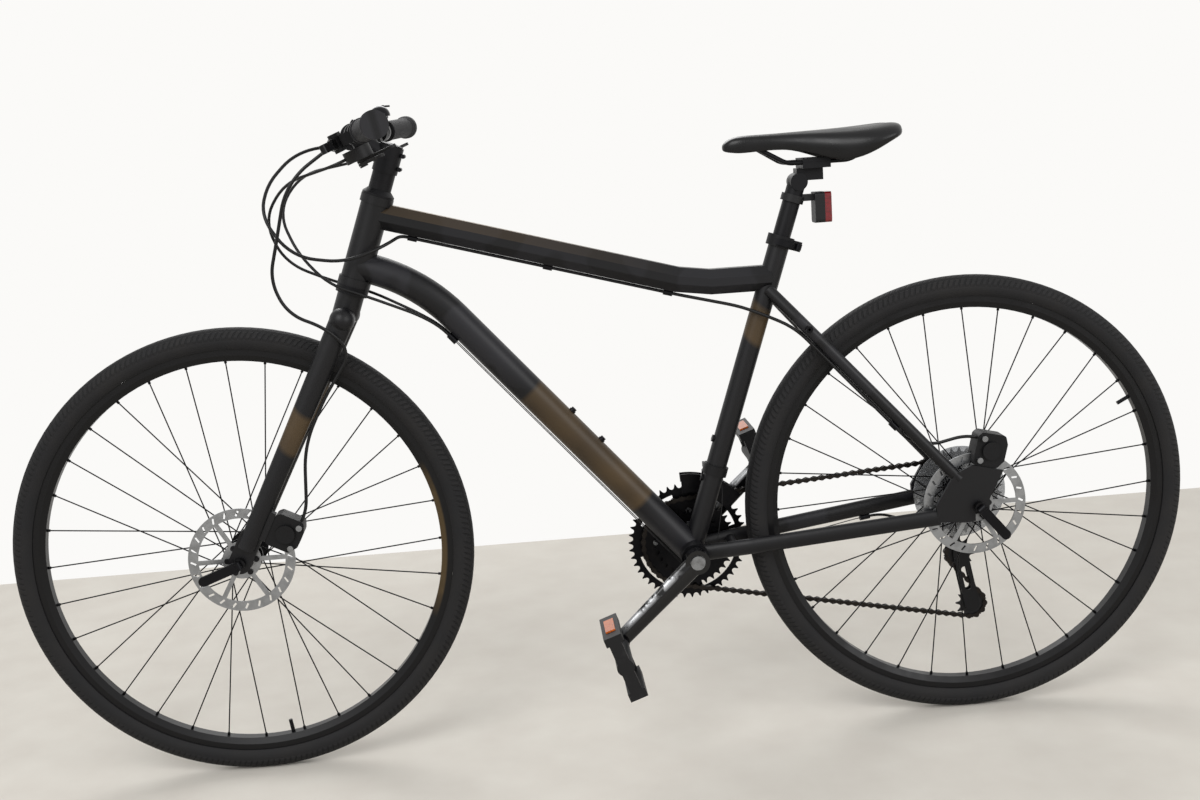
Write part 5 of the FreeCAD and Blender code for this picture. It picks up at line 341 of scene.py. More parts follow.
for node in ("handlebar", "stem", "seatpost", "headset_spacers", "headset_cups"):
    dress(node, bar_black, black_bolt, pick=smaller_than(BAR_BOLT))
for node in ("front_hub", "rear_hub", "bottom_bracket", "frame_fittings", "seat_clamp_lever",
             "front_skewer_lever", "rear_skewer_lever", "saddle_rails"):
    dress(node, anodised)
for node in ("seat_clamp_collar", "front_brake_caliper", "rear_brake_caliper",
             "brake_lever_bodies"):
    dress(node, cast_black, bolt_steel, pick=smaller_than(CALIPER_BOLT))
for node in ("derailleur_brackets", "front_derailleur_link", "rear_derailleur_link",
             "rear_derailleur_knuckle", "rear_derailleur_cage"):
    dress(node, cast_black)
dress("front_derailleur_cage", ring_steel)
for node in ("left_brake_lever", "right_brake_lever"):
    dress(node, lever_black)
for node in ("front_spokes", "rear_spokes"):
    dress(node, spoke_black)
for node in ("front_axle", "rear_axle"):
    dress(node, black_bolt)
dress("bell", bell_black)
dress("bell_striker", anodised)
for node in ("front_rotor", "rear_rotor"):
    dress(node, rotor_steel, black_bolt, pick=smaller_than(ROTOR_BOLT))
dress("cassette", cog_steel)
dress("chain", chain_steel)
dress("chainrings", ring_steel, bolt_steel, pick=smaller_than(RING_BOLT))
print("metal nodes dressed")

# %% [markdown]
# The rims are painted black, with a bronze stripe along a stretch of the front one. Crank
# arms are forged and painted gloss black. A strip along one edge of each arm is bare metal
# colour, partly shoe rub and partly painted highlight, broken up by noise.

# %% Rims and crank
front_axle = (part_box("front_tyre")[0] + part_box("front_tyre")[1]) / 2
rear_axle = (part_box("rear_tyre")[0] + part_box("rear_tyre")[1]) / 2
STRIPE_OUTSIDE, STRIPE_BLUR, STRIPE_NOISE_MM = 0.306, 0.003, 30
STRIPE_TURN, STRIPE_FULL_TURN, STRIPE_BRONZE = 2.72, 2.85, "#4a3c26"
ENAMEL, BARE_METAL_AND_HIGHLIGHT, ENAMEL_GLOSS, BARE_GLOSS = "#0b0b0d", "#9a9b9d", 0.16, 0.34
# The bare metal colour and its zone stand for shoe rub and for a painted highlight along the arm's
# upper front edge.
RUB_AND_HIGHLIGHT_START, RUB_AND_HIGHLIGHT_FULL, RUB_AND_HIGHLIGHT_FADE, RUB_AND_HIGHLIGHT_STOP, RUB_AND_HIGHLIGHT_MM = 0.075, 0.085, 0.16, 0.185, 26
RUB_AND_HIGHLIGHT_EDGE, RUB_AND_HIGHLIGHT_EDGE_FULL = 0.004, 0.008
CAP_SPAN = 0.03
RUB_AND_HIGHLIGHT_WAY = (0.663, 0.0, 0.749)


def front_rim_paint():
    material, tree, shader = begin("front_rim_paint", RIM_BLACK, roughness=0.34, metallic=0.2)
    place = add(tree, "ShaderNodeTexCoord").outputs["Object"]
    offset = add(tree, "ShaderNodeVectorMath", {"operation": "SUBTRACT"}, i0=place, i1=front_axle)
    spot = add(tree, "ShaderNodeSeparateXYZ", Vector=offset.outputs[0])
    angle = add(tree, "ShaderNodeMath", {"operation": "ARCTAN2"}, i0=spot.outputs["Z"],
                i1=spot.outputs["X"])
    turn = add(tree, "ShaderNodeMath", {"operation": "ABSOLUTE"}, i0=angle.outputs[0])
    stretch = add(tree, "ShaderNodeMapRange", Value=turn.outputs[0], From_Min=STRIPE_TURN,
                  From_Max=STRIPE_FULL_TURN)
    noise = add(tree, "ShaderNodeTexNoise", Vector=place, Scale=per_metre(STRIPE_NOISE_MM),
                Detail=3.0)
    broken = add(tree, "ShaderNodeMapRange", Value=noise.outputs["Fac"], From_Min=0.2,
                 From_Max=0.45, To_Min=0.5)
    flat = add(tree, "ShaderNodeVectorMath", {"operation": "MULTIPLY"}, i0=offset.outputs[0],
               i1=(1.0, 0.0, 1.0))
    reach = add(tree, "ShaderNodeVectorMath", {"operation": "LENGTH"}, i0=flat.outputs[0])
    inner = add(tree, "ShaderNodeMapRange", Value=reach.outputs["Value"],
                From_Min=STRIPE_OUTSIDE + STRIPE_BLUR, From_Max=STRIPE_OUTSIDE)
    patch = add(tree, "ShaderNodeMath", {"operation": "MULTIPLY"}, i0=stretch.outputs[0],
                i1=broken.outputs[0])
    share = add(tree, "ShaderNodeMath", {"operation": "MULTIPLY"}, i0=patch.outputs[0],
                i1=inner.outputs[0])
    tint = add(tree, "ShaderNodeMix", {"data_type": "RGBA"}, i0=share.outputs[0],
               i6=linear(RIM_BLACK), i7=linear(STRIPE_BRONZE))
    tree.links.new(tint.outputs[2], shader.inputs["Base Color"])
    bump = add(tree, "ShaderNodeBump", Strength=0.04, Distance=0.0003, Height=noise.outputs["Fac"])
    tree.links.new(bump.outputs[0], shader.inputs["Normal"])
    return material


def crank_enamel():
    material, tree, shader = begin("gloss_crank_enamel", ENAMEL, ENAMEL_GLOSS,
                                   **{"Coat Weight": 0.2})
    place = add(tree, "ShaderNodeTexCoord").outputs["Object"]
    noise = add(tree, "ShaderNodeTexNoise", Vector=place, Scale=per_metre(RUB_AND_HIGHLIGHT_MM), Detail=4.0,
                Roughness=0.6)
    offset = add(tree, "ShaderNodeVectorMath", {"operation": "SUBTRACT"}, i0=place, i1=bracket)
    reach = add(tree, "ShaderNodeVectorMath", {"operation": "LENGTH"}, i0=offset.outputs[0])
    start = add(tree, "ShaderNodeMapRange", Value=reach.outputs["Value"], From_Min=RUB_AND_HIGHLIGHT_START,
                From_Max=RUB_AND_HIGHLIGHT_FULL)
    stop = add(tree, "ShaderNodeMapRange", Value=reach.outputs["Value"], From_Min=RUB_AND_HIGHLIGHT_STOP,
               From_Max=RUB_AND_HIGHLIGHT_FADE)
    zone = add(tree, "ShaderNodeMath", {"operation": "MULTIPLY"}, i0=start.outputs[0],
               i1=stop.outputs[0])
    # The strip along each arm's upper front edge is part shoe rub, part painted highlight in bare
    # metal colour.
    edge = add(tree, "ShaderNodeVectorMath", {"operation": "DOT_PRODUCT"}, i0=offset.outputs[0],
               i1=RUB_AND_HIGHLIGHT_WAY)
    strip = add(tree, "ShaderNodeMapRange", Value=edge.outputs["Value"], From_Min=RUB_AND_HIGHLIGHT_EDGE,
                From_Max=RUB_AND_HIGHLIGHT_EDGE_FULL)
    lit = add(tree, "ShaderNodeMath", {"operation": "MULTIPLY"}, i0=zone.outputs[0],
              i1=strip.outputs[0])
    patch = add(tree, "ShaderNodeMapRange", Value=noise.outputs["Fac"], From_Min=0.44,
                From_Max=0.52)
    broken_by_noise = add(tree, "ShaderNodeMath", {"operation": "MULTIPLY"}, i0=lit.outputs[0],
               i1=patch.outputs[0])
    tint = add(tree, "ShaderNodeMix", {"data_type": "RGBA"}, i0=broken_by_noise.outputs[0], i6=linear(ENAMEL),
               i7=linear(BARE_METAL_AND_HIGHLIGHT))
    tree.links.new(tint.outputs[2], shader.inputs["Base Color"])
    tree.links.new(broken_by_noise.outputs[0], shader.inputs["Metallic"])
    gloss = add(tree, "ShaderNodeMapRange", Value=broken_by_noise.outputs[0], To_Min=ENAMEL_GLOSS,
                To_Max=BARE_GLOSS)
    tree.links.new(gloss.outputs[0], shader.inputs["Roughness"])
    return material


dress("front_rim", front_rim_paint())
dress("rear_rim", rim_black)
dress("crank_arms", crank_enamel(), bolt_steel,
      pick=lambda order, low, high: 1 if sorted(high - low)[1] < CAP_SPAN else 0)
print("front axle at", [round(value, 4) for value in front_axle])

# %% [markdown]
# The tyres are vulcanised rubber with a fine file tread: short slanted blocks round the
# crown, and smooth sidewalls. The blocks are laid out by the angle round the axle, so
# they follow the tyre. The real blocks are about 5 mm long; they are drawn at 9 mm so
# that they show at this distance.

# %% Tyre rubber
TREAD_MM, DUST_MM = 9, 45
TREAD_DEPTH, TREAD_BLUR, ROWS_PER_BLOCK = 0.017, 0.004, 0.8
TYRE_SPAN = 0.3
# The groove colour is painted shade in the tread grooves.
RUBBER_BLACK, RUBBER_DUST, GROOVE_SHADE = "#141416", "#211f1e", "#08080a"
tyre_radius = (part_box("front_tyre")[1].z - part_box("front_tyre")[0].z) / 2
BLOCKS_ROUND = 2 * math.pi * tyre_radius * 1000 / TREAD_MM


def tyre_rubber(name, axle):
    material, tree, shader = begin(name, RUBBER_BLACK, roughness=0.72)
    place = add(tree, "ShaderNodeTexCoord").outputs["Object"]
    offset = add(tree, "ShaderNodeVectorMath", {"operation": "SUBTRACT"}, i0=place, i1=axle)
    spot = add(tree, "ShaderNodeSeparateXYZ", Vector=offset.outputs[0])
    angle = add(tree, "ShaderNodeMath", {"operation": "ARCTAN2"}, i0=spot.outputs["Z"],
                i1=spot.outputs["X"])
    side = add(tree, "ShaderNodeMath", {"operation": "ABSOLUTE"}, i0=spot.outputs["Y"])
    around = add(tree, "ShaderNodeMath", {"operation": "MULTIPLY"}, i0=angle.outputs[0],
                 i1=BLOCKS_ROUND / (2 * math.pi))
    slant = add(tree, "ShaderNodeMath", {"operation": "MULTIPLY_ADD"}, i0=side.outputs[0],
                i1=per_metre(TREAD_MM), i2=around.outputs[0])
    block = add(tree, "ShaderNodeMath", {"operation": "PINGPONG"}, i0=slant.outputs[0], i1=0.5)
    rows = add(tree, "ShaderNodeMath", {"operation": "MULTIPLY"}, i0=side.outputs[0],
               i1=per_metre(TREAD_MM) * ROWS_PER_BLOCK)
    row = add(tree, "ShaderNodeMath", {"operation": "PINGPONG"}, i0=rows.outputs[0], i1=0.5)
    steps = [add(tree, "ShaderNodeMapRange", Value=wave.outputs[0], From_Min=0.1, From_Max=0.2)
             for wave in (block, row)]
    knob = add(tree, "ShaderNodeMath", {"operation": "MULTIPLY"}, i0=steps[0].outputs[0],
               i1=steps[1].outputs[0])
    reach = add(tree, "ShaderNodeMath", {"operation": "POWER"}, i0=spot.outputs["X"], i1=2.0)
    rise = add(tree, "ShaderNodeMath", {"operation": "POWER"}, i0=spot.outputs["Z"], i1=2.0)
    square = add(tree, "ShaderNodeMath", {"operation": "ADD"}, i0=reach.outputs[0],
                 i1=rise.outputs[0])
    out = add(tree, "ShaderNodeMath", {"operation": "SQRT"}, i0=square.outputs[0])
    tread_edge = tyre_radius - TREAD_DEPTH
    crown = add(tree, "ShaderNodeMapRange", Value=out.outputs[0], From_Min=tread_edge,
                From_Max=tread_edge + TREAD_BLUR)
    tread = add(tree, "ShaderNodeMath", {"operation": "MULTIPLY"}, i0=knob.outputs[0],
                i1=crown.outputs[0])
    dust = add(tree, "ShaderNodeTexNoise", Vector=place, Scale=per_metre(DUST_MM), Detail=4.0)
    grey = add(tree, "ShaderNodeMapRange", Value=dust.outputs["Fac"], From_Min=0.35, From_Max=0.75,
               To_Max=0.5)
    tint = add(tree, "ShaderNodeMix", {"data_type": "RGBA"}, i0=grey.outputs[0],
               i6=linear(RUBBER_BLACK), i7=linear(RUBBER_DUST))
    # Grooves between the tread blocks are painted darker, as shade.
    groove = add(tree, "ShaderNodeMath", {"operation": "SUBTRACT"}, i0=crown.outputs[0],
                 i1=tread.outputs[0])
    shaded_grooves = add(tree, "ShaderNodeMix", {"data_type": "RGBA"}, i0=groove.outputs[0],
               i6=tint.outputs[2], i7=linear(GROOVE_SHADE))
    bump = add(tree, "ShaderNodeBump", Strength=0.8, Distance=0.0015, Height=tread.outputs[0])
    tree.links.new(shaded_grooves.outputs[2], shader.inputs["Base Color"])
    tree.links.new(bump.outputs[0], shader.inputs["Normal"])
    return material


for name, axle in (("front", front_axle), ("rear", rear_axle)):
    dress(f"{name}_tyre", tyre_rubber(f"{name}_tyre_rubber", axle), anodised,
          pick=smaller_than(TYRE_SPAN))
print("tread blocks round a tyre", round(BLOCKS_ROUND))

# %% [markdown]
# Shifter cases, thumb levers, pulleys and pedals are glass-filled nylon, moulded in a
# spark-eroded tool that leaves a fine grain. Grips are soft rubber with rings round them.
# Pedal reflectors are orange acrylic and the rear light has a red acrylic lens.

# %% Plastics and rubber
MOULD_GRAIN_MM, SCUFF_MM, HAZE_MM = 2.2, 20, 8
# The rib groove colour is painted shade.
SCUFF_GREY, RIB_GROOVE_SHADE, RIB_GREY, PRISM_EDGE_SHADE = "#262627", "#0e0e10", "#202023", "#200a06"


def moulded_nylon(name, colour, roughness):
    material, tree, shader = begin(name, colour, roughness)
    place = add(tree, "ShaderNodeTexCoord").outputs["Object"]
    grain = add(tree, "ShaderNodeTexNoise", Vector=place, Scale=per_metre(MOULD_GRAIN_MM),
                Detail=2.0)
    scuff = add(tree, "ShaderNodeTexNoise", Vector=place, Scale=per_metre(SCUFF_MM), Detail=5.0,
                Roughness=0.65)
    share = add(tree, "ShaderNodeMapRange", Value=scuff.outputs["Fac"], From_Min=0.55,
                From_Max=0.75, To_Max=0.5)
    tint = add(tree, "ShaderNodeMix", {"data_type": "RGBA"}, i0=share.outputs[0], i6=linear(colour),
               i7=linear(SCUFF_GREY))
    bump = add(tree, "ShaderNodeBump", Strength=0.25, Distance=0.0003, Height=grain.outputs["Fac"])
    tree.links.new(tint.outputs[2], shader.inputs["Base Color"])
    tree.links.new(bump.outputs[0], shader.inputs["Normal"])
    return material


RIB_MM = 5


def grip_rubber():
    """Soft rubber with rings that run round the bar."""
    material, tree, shader = begin("grip_rubber", "#1c1c1e", roughness=0.7)
    place = add(tree, "ShaderNodeTexCoord").outputs["Object"]
    spot = add(tree, "ShaderNodeSeparateXYZ", Vector=place)
    count = add(tree, "ShaderNodeMath", {"operation": "MULTIPLY"}, i0=spot.outputs["Y"],
                i1=per_metre(RIB_MM))
    rib = add(tree, "ShaderNodeMath", {"operation": "PINGPONG"}, i0=count.outputs[0], i1=0.5)
    flat = add(tree, "ShaderNodeMapRange", Value=rib.outputs[0], From_Min=0.1, From_Max=0.3)
    bump = add(tree, "ShaderNodeBump", Strength=0.7, Distance=0.001, Height=flat.outputs[0])
    # The grooves between the rings are painted darker, as shade.
    tint = add(tree, "ShaderNodeMix", {"data_type": "RGBA"}, i0=flat.outputs[0],
               i6=linear(RIB_GROOVE_SHADE), i7=linear(RIB_GREY))
    tree.links.new(tint.outputs[2], shader.inputs["Base Color"])
    tree.links.new(bump.outputs[0], shader.inputs["Normal"])
    return material


PRISM_MM = 3


def acrylic(name, colour):
    """Clear coloured plastic with small prisms moulded behind its face, painted darker at their
    edges as shade.
    """
    material, tree, shader = begin(name, colour, roughness=0.12,
                                   **{"IOR": 1.49, "Coat Weight": 0.6})
    place = add(tree, "ShaderNodeTexCoord").outputs["Object"]
    prisms = add(tree, "ShaderNodeTexVoronoi", {"distance": "CHEBYCHEV"}, Vector=place,
                 Scale=per_metre(PRISM_MM))
    # Each prism is painted darker towards its edges, as shade in the facets.
    dark = add(tree, "ShaderNodeMapRange", Value=prisms.outputs["Distance"], To_Max=0.7)
    tint = add(tree, "ShaderNodeMix", {"data_type": "RGBA"}, i0=dark.outputs[0], i6=linear(colour),
               i7=linear(PRISM_EDGE_SHADE))
    bump = add(tree, "ShaderNodeBump", Strength=0.3, Distance=0.0006,
               Height=prisms.outputs["Distance"])
    tree.links.new(tint.outputs[2], shader.inputs["Base Color"])
    tree.links.new(bump.outputs[0], shader.inputs["Normal"])
    return material


def smoky_polycarbonate():
    material, tree, shader = begin("smoky_polycarbonate", "#a9abae", roughness=0.2,
                                   **{"IOR": 1.58, "Transmission Weight": 0.75, "Alpha": 1.0})
    place = add(tree, "ShaderNodeTexCoord").outputs["Object"]
    haze = add(tree, "ShaderNodeTexNoise", Vector=place, Scale=per_metre(HAZE_MM), Detail=3.0)
    gloss = add(tree, "ShaderNodeMapRange", Value=haze.outputs["Fac"], To_Min=0.1, To_Max=0.35)
    tree.links.new(gloss.outputs[0], shader.inputs["Roughness"])
    return material


nylon = moulded_nylon("glass_filled_nylon", "#0f0f11", roughness=0.5)
pedal_nylon = moulded_nylon("pedal_nylon", "#0e0e10", roughness=0.55)
orange = acrylic("orange_reflector_acrylic", "#d9691a")
red = acrylic("red_lens_acrylic", "#7a1019")
for node in ("shifter_pods", "left_thumb_lever", "right_thumb_lever", "left_release_lever",
             "right_release_lever", "guide_pulley", "tension_pulley"):
    dress(node, nylon)
dress("grips", grip_rubber())
for node in ("left_pedal", "right_pedal"):
    dress(node, pedal_nylon, orange, pick=lambda order, low, high: 1 if order else 0)
LENS_DEPTH = 0.01
light = dress("rear_light", nylon, red)
lens_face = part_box("rear_light")[0].x + LENS_DEPTH
for polygon in light.data.polygons:
    polygon.material_index = 1 if polygon.center.x < lens_face else 0
dress("spoke_protector", smoky_polycarbonate())
print("plastic nodes dressed")

# %% [markdown]
# Brake hoses and shift housings are plastic jackets over a liner and wire. Those that run
# from the turning handlebar to the frame have to bend when the bar turns; copies of the
# imported routes stand in for the solids. The front shift wire gets a copy of its own,
# because its end moves with the derailleur link.

# %% Hoses and cables
WIPE_MM = 10
cable_material, cable_tree, cable_shader = begin("extruded_cable_jacket", "#0c0c0e", roughness=0.38)
wipe = add(cable_tree, "ShaderNodeTexNoise",
           Vector=add(cable_tree, "ShaderNodeTexCoord").outputs["Object"],
           Scale=per_metre(WIPE_MM), Detail=3.0)
sheen = add(cable_tree, "ShaderNodeMapRange", Value=wipe.outputs["Fac"], To_Min=0.28, To_Max=0.5)
cable_tree.links.new(sheen.outputs[0], cable_shader.inputs["Roughness"])
dress("front_brake_hose", cable_material)
WIRE_FARTHEST, WIRE_NEAREST = -0.25, -0.12


def bending_copy(node, name, keep=lambda low, high: True):
    """Copy of the kept solids of a packed cable, as a new object; the imported node is hidden."""
    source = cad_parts[node].data
    kept = {face for faces, low, high in solids_of(source) if keep(low, high) for face in faces}
    shape = bmesh.new()
    shape.from_mesh(source)
    spare = [face for face in shape.faces if face.index not in kept]
    bmesh.ops.delete(shape, geom=spare, context="FACES")
    mesh = bpy.data.meshes.new(name)
    shape.to_mesh(mesh)
    shape.free()
    mesh.materials.append(cable_material)
    piece = bpy.data.objects.new(name, mesh)
    bpy.context.scene.collection.objects.link(piece)
    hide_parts(node)
    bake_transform(piece)
    return piece


def is_front_wire(low, high):
    """True for the wire whose rear end is at the front derailleur, ahead of the rear axle."""
    return WIRE_FARTHEST < low.x < WIRE_NEAREST


bending_copy("rear_brake_hose", "rear_brake_hose_flexing")
bending_copy("shift_cables", "shift_cables_flexing",
             keep=lambda low, high: not is_front_wire(low, high))
front_wire = bending_copy("shift_cables", "front_shift_wire_flexing",
                          keep=is_front_wire)
print("faces of the front shift wire", len(front_wire.data.polygons))

# %% [markdown]
# The CAD chain has a solid for each link, with straight-sided plates. Real plates are waisted
# between the pins, so new links with a waist stand in for the CAD ones, each in its place.

# %% Chain links
CHAIN_PITCH, PLATE_THICKNESS, INNER_WIDTH = 0.0127, 0.0009, 0.0058
ROLLER_RADIUS, PIN_RADIUS, WAIST_SHARE = 0.0038, 0.0018, 0.45
LOBE_HALF_DEG, LOBE_STEP_DEG, LOBE_POINTS = 112, 28, 9
ROUND_STEP_DEG, ROUND_POINTS = 36, 10
LOBE_ANGLES = [math.radians(LOBE_STEP_DEG * turn - LOBE_HALF_DEG) for turn in range(LOBE_POINTS)]
ROUND_ANGLES = [math.radians(ROUND_STEP_DEG * turn) for turn in range(ROUND_POINTS)]


def link_place(spots):
    """Middle, two directions and half height of a link, from its corners seen from the side."""
    middle = sum(spots, Vector((0.0, 0.0))) / len(spots)
    arms = [spot - middle for spot in spots]
    twist, spread = sum(arm.x * arm.y for arm in arms), sum(arm.x ** 2 - arm.y ** 2 for arm in arms)
    angle = math.atan2(2 * twist, spread) / 2
    along = Vector((math.cos(angle), math.sin(angle)))
    across = Vector((-along.y, along.x))
    return middle, along, across, max(abs(arm.dot(across)) for arm in arms)


def prism(outline, low, high, corners, faces):
    """Adds a flat outline of (x, z), drawn out across the bike from low to high."""
    first, count = len(corners), len(outline)
    corners += [(spot.x, level, spot.y) for level in (low, high) for spot in outline]
    faces.append([first + turn for turn in range(count)])
    faces.append([first + count + turn for turn in reversed(range(count))])
    for turn in range(count):
        after = (turn + 1) % count
        faces.append([first + after, first + turn, first + count + turn, first + count + after])


def waisted_links(mesh):
    """A mesh of waisted plates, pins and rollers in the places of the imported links."""
    corners, faces = [], []
    solids = solids_of(mesh)
    for island, low, high in solids:
        used = {vertex for face in island for vertex in mesh.polygons[face].vertices}
        spots = [Vector((mesh.vertices[vertex].co.x, mesh.vertices[vertex].co.z))
                 for vertex in used]
        middle, along, across, radius = link_place(spots)
        pins = [middle - along * (CHAIN_PITCH / 2), middle + along * (CHAIN_PITCH / 2)]
        lobe = [(along * math.cos(angle) + across * math.sin(angle)) * radius
                for angle in LOBE_ANGLES]
        waist = across * (radius * WAIST_SHARE)
        outline = [pins[1] + arm for arm in lobe] + [middle + waist]
        outline += [pins[0] - arm for arm in lobe] + [middle - waist]
        prism(outline, low.y, low.y + PLATE_THICKNESS, corners, faces)
        prism(outline, high.y - PLATE_THICKNESS, high.y, corners, faces)
        bar = ROLLER_RADIUS if high.y - low.y < INNER_WIDTH else PIN_RADIUS
        for pin in pins:
            ring = [pin + Vector((math.cos(angle), math.sin(angle))) * bar
                    for angle in ROUND_ANGLES]
            prism(ring, low.y + PLATE_THICKNESS, high.y - PLATE_THICKNESS, corners, faces)
    links = bpy.data.meshes.new("chain_links")
    links.from_pydata(corners, [], faces)
    links.materials.append(chain_steel)
    print("chain links", len(solids))
    return links


chain = bpy.data.objects.new("chain_links", waisted_links(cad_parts["chain"].data))
bpy.context.scene.collection.objects.link(chain)
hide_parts("chain")
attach(chain, "frame")

# %% [markdown]
# The saddle is moulded foam under a tight synthetic leather cover. Its crown dips along
# the middle, its sides draw in, and a notch parts the tail into two lobes. Sections along
# its length carry a smooth profile, and a subdivision surface rounds what lies between.

# %% Saddle cover
RAIL_RADIUS = 0.0035
saddle_low, saddle_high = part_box("saddle_cover")
rail_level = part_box("saddle_rails")[0].z + RAIL_RADIUS
SADDLE_HEIGHT, SADDLE_HALF = 0.0525, 0.07
SADDLE_LENGTH = saddle_high.x - saddle_low.x
SADDLE_SECTIONS = [
    (0.0, 0.1, 0.62, 0.56, 0.44), (0.04, 0.21, 0.8, 0.64, 0.38), (0.1, 0.265, 0.862, 0.67, 0.33),
    (0.28, 0.314, 0.857, 0.66, 0.41), (0.459, 0.457, 0.886, 0.6, 0.32),
    (0.638, 0.786, 0.905, 0.486, -0.11), (0.795, 0.99, 0.943, 0.524, 0.124),
    (0.9, 0.96, 0.985, 0.62, 0.42), (0.96, 0.86, 0.985, 0.69, 0.56), (1.0, 0.6, 0.92, 0.76, 0.66),
]
RING_POINTS = 14
WALL_SHARE, DIP_STRETCH = 0.9, 1.05
CROWN_DIP, TAIL_NOTCH, NOTCH_FROM, GROOVE_SHARE, CROWN_POWER = 0.0035, 0.007, 0.72, 0.2, 2.6
SKIRT_SHARE, HEM_SHARE, HEM_TURN, ROOF_SHARE = 0.985, 0.94, 0.9, 0.8
HEM_LIFT, PAD_DEPTH, PAD_SHARE = 0.001, 0.021, 0.6


def saddle_ring(station):
    """One closed section, over the crown from skirt to skirt and back inside the shell.

    A station is the place along the length, then width, crown, edge and skirt as shares.
    """
    along, width, crown, edge, skirt = station
    x = saddle_high.x - along * SADDLE_LENGTH
    half = width * SADDLE_HALF
    top, side, low = [rail_level + share * SADDLE_HEIGHT for share in (crown, edge, skirt)]
    dip = CROWN_DIP * max(0.0, math.sin(math.pi * min(1.0, along * DIP_STRETCH)))
    notch = TAIL_NOTCH * max(0.0, (along - NOTCH_FROM) / (1 - NOTCH_FROM))
    over = []
    for index in range(RING_POINTS + 1):
        share = 2 * index / RING_POINTS - 1
        bulge = math.sqrt(max(0.0, 1 - abs(share) ** CROWN_POWER))
        groove = (dip + notch) * math.exp(-(share / GROOVE_SHARE) ** 2)
        over.append(Vector((x, share * half, side + (top - side) * bulge - groove)))
    inside = half * WALL_SHARE
    skirts = [Vector((x, half * SKIRT_SHARE, (side + low) / 2)), Vector((x, half * HEM_SHARE, low)),
              Vector((x, inside * HEM_TURN, low + HEM_LIFT))]
    ceiling = max(low, top - min(PAD_DEPTH, (top - low) * PAD_SHARE))
    under = [Vector((x, side_sign * inside * ROOF_SHARE, ceiling)) for side_sign in (1, -1)]
    back = [Vector((point.x, -point.y, point.z)) for point in reversed(skirts)]
    return over + skirts + under + back


def saddle_mesh():
    rings = [saddle_ring(station) for station in SADDLE_SECTIONS]
    count = len(rings[0])
    points = [point for ring in rings for point in ring]
    faces = [(first * count + index, first * count + (index + 1) % count,
              (first + 1) * count + (index + 1) % count, (first + 1) * count + index)
             for first in range(len(rings) - 1) for index in range(count)]
    faces.append(tuple(reversed(range(count))))
    faces.append(tuple(range((len(rings) - 1) * count, len(rings) * count)))
    mesh = bpy.data.meshes.new("saddle_shell")
    mesh.from_pydata(points, [], faces)
    mesh.update()
    return mesh


LEATHER_GRAIN_MM, WEAR_MM = 1.6, 40


def synthetic_leather():
    """Glossy polyurethane cover with a fine pebble grain and a little wear on the crown."""
    material, tree, shader = begin("synthetic_leather", "#0a0a0c", roughness=0.3,
                                   **{"Specular IOR Level": 0.28})
    place = add(tree, "ShaderNodeTexCoord").outputs["Object"]
    pebble = add(tree, "ShaderNodeTexVoronoi", Vector=place, Scale=per_metre(LEATHER_GRAIN_MM))
    wear = add(tree, "ShaderNodeTexNoise", Vector=place, Scale=per_metre(WEAR_MM), Detail=3.0)
    gloss = add(tree, "ShaderNodeMapRange", Value=wear.outputs["Fac"], From_Min=0.35, From_Max=0.65,
                To_Min=0.24, To_Max=0.4)
    bump = add(tree, "ShaderNodeBump", Strength=0.15, Distance=0.0004,
               Height=pebble.outputs["Distance"])
    tree.links.new(gloss.outputs[0], shader.inputs["Roughness"])
    tree.links.new(bump.outputs[0], shader.inputs["Normal"])
    return material


saddle = bpy.data.objects.new("saddle_padding", saddle_mesh())
bpy.context.scene.collection.objects.link(saddle)
saddle.data.materials.append(synthetic_leather())
saddle.data.shade_smooth()
rounding = saddle.modifiers.new("rounding", "SUBSURF")
rounding.levels = rounding.render_levels = 2
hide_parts("saddle_cover")
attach(saddle, "seat")
print("saddle length", round(SADDLE_LENGTH, 3))

# %% [markdown]
# The bike stands on a plain pale floor in soft light. Three large lamps light it evenly,
# the world fills the shadows, and the background is white to the camera only, so it adds
# no light of its own.

# %% Floor, light and background
FLOOR_HALF, FLOOR_BACK, FLOOR_FRONT, CEMENT_MM = 5.0, -1.15, 6.0, 90
floor_mesh = bpy.data.meshes.new("floor")
floor_mesh.from_pydata([(-FLOOR_HALF, FLOOR_BACK, 0), (FLOOR_HALF, FLOOR_BACK, 0),
                        (FLOOR_HALF, FLOOR_FRONT, 0), (-FLOOR_HALF, FLOOR_FRONT, 0)], [],
                        [(0, 1, 2, 3)])
floor = bpy.data.objects.new("floor", floor_mesh)
bpy.context.scene.collection.objects.link(floor)
floor_material, floor_tree, floor_shader = begin("pale_concrete", "#d3cec6", roughness=0.85)
cement = add(floor_tree, "ShaderNodeTexNoise", Scale=per_metre(CEMENT_MM), Detail=6.0,
             Vector=add(floor_tree, "ShaderNodeTexCoord").outputs["Object"])
mottle = add(floor_tree, "ShaderNodeMapRange", Value=cement.outputs["Fac"], From_Min=0.3,
             From_Max=0.7)
tone = add(floor_tree, "ShaderNodeMix", {"data_type": "RGBA"}, i0=mottle.outputs[0],
           i6=linear("#cdc8c0"), i7=linear("#d3cfc7"))
floor_tree.links.new(tone.outputs[2], floor_shader.inputs["Base Color"])
floor.data.materials.append(floor_material)

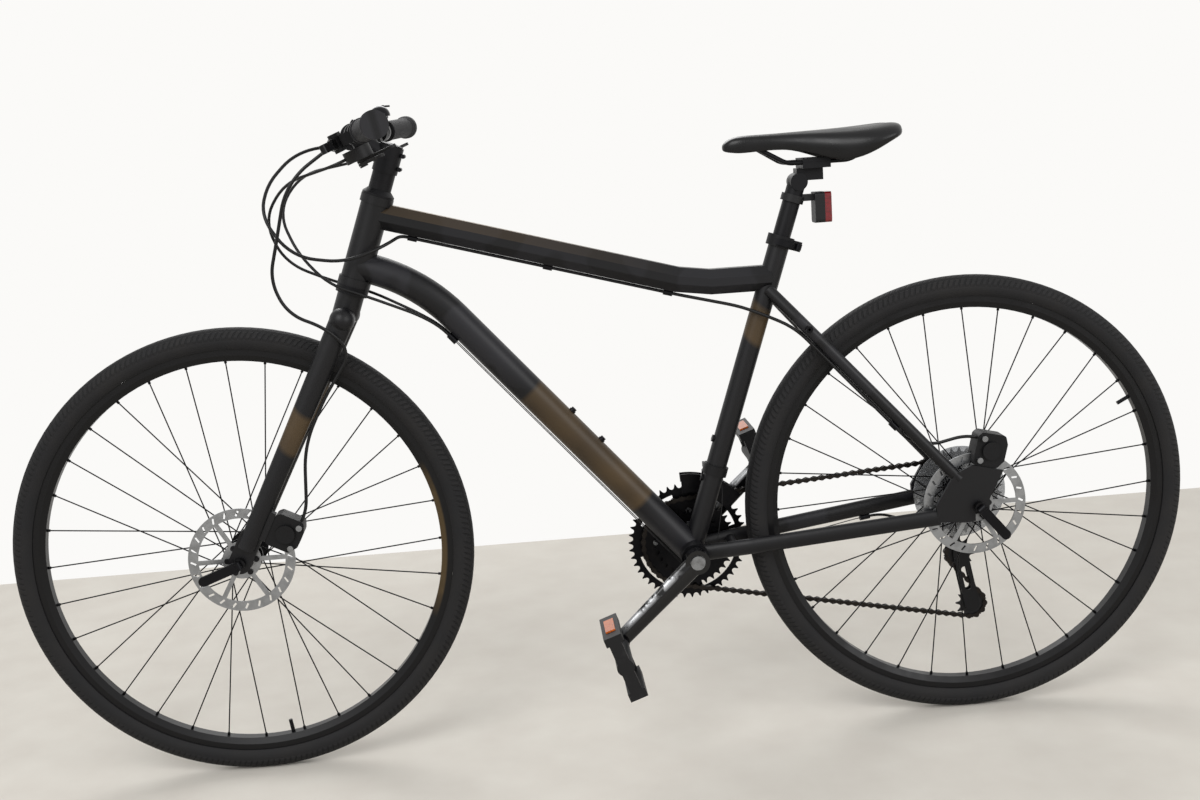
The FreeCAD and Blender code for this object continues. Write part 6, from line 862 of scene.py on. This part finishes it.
world = bpy.data.worlds.new("studio")
bpy.context.scene.world = world
world.use_nodes = True
sky = world.node_tree
background = sky.nodes["Background"]
background.inputs["Color"].default_value = linear("#fbfaf8")
rays = add(sky, "ShaderNodeLightPath")
seen = add(sky, "ShaderNodeMath", {"operation": "MAXIMUM"}, i0=rays.outputs["Is Camera Ray"],
           i1=rays.outputs["Is Glossy Ray"])
clear = add(sky, "ShaderNodeMath", {"operation": "MAXIMUM"}, i0=seen.outputs[0],
            i1=rays.outputs["Is Transmission Ray"])
FILL_STRENGTH, WHITE_STRENGTH = 0.55, 1.0
strength = add(sky, "ShaderNodeMapRange", Value=clear.outputs[0], To_Min=FILL_STRENGTH,
               To_Max=WHITE_STRENGTH)
sky.links.new(strength.outputs[0], background.inputs["Strength"])


def soft_lamp(name, place, aim, width, power):
    lamp = bpy.data.lights.new(name, "AREA")
    lamp.shape, lamp.size, lamp.energy = "SQUARE", width, power
    piece = bpy.data.objects.new(name, lamp)
    piece.location = place
    piece.rotation_euler = (Vector(aim) - Vector(place)).to_track_quat("-Z", "Y").to_euler()
    bpy.context.scene.collection.objects.link(piece)


MIDDLE = (0.0, 0.0, 0.55)
soft_lamp("key_lamp", (1.6, 3.0, 3.2), MIDDLE, width=2.4, power=95)
soft_lamp("fill_lamp", (-2.6, 2.4, 1.8), MIDDLE, width=2.0, power=45)
soft_lamp("back_lamp", (0.4, -2.6, 2.8), MIDDLE, width=2.2, power=50)
bpy.context.scene.view_settings.view_transform = "Standard"
print("floor, lamps and background made")

# %% [markdown]
# The camera stands where the photograph was taken from, on the bike's left. Its place and
# turn were worked out from the outlines of the two wheels.

# %% Camera
FOCAL_PX, PICTURE_WIDTH_PX, SENSOR_MM = 1445.0, 1200, 36.0
CAMERA_PLACE = Vector((0.125, 2.174, 0.953))
CAMERA_TURN_DEG = Vector((10.5, -3.54, -4.02))
level_view = Matrix(((-1, 0, 0), (0, 0, -1), (0, -1, 0)))
camera_turn = Matrix.Rotation(math.radians(CAMERA_TURN_DEG.length), 3, CAMERA_TURN_DEG.normalized())
turned_view = camera_turn @ level_view
lens = bpy.data.cameras.new("camera")
lens.sensor_fit, lens.sensor_width = "HORIZONTAL", SENSOR_MM
lens.lens = SENSOR_MM * FOCAL_PX / PICTURE_WIDTH_PX
camera = bpy.data.objects.new("camera", lens)
axes = Matrix((turned_view[0], -turned_view[1], -turned_view[2])).transposed()
camera.matrix_world = Matrix.Translation(CAMERA_PLACE) @ axes.to_4x4()
bpy.context.scene.collection.objects.link(camera)
bpy.context.scene.camera = camera
print("focal length", round(lens.lens, 2))

# %% Update the scene
bpy.context.view_layer.update()
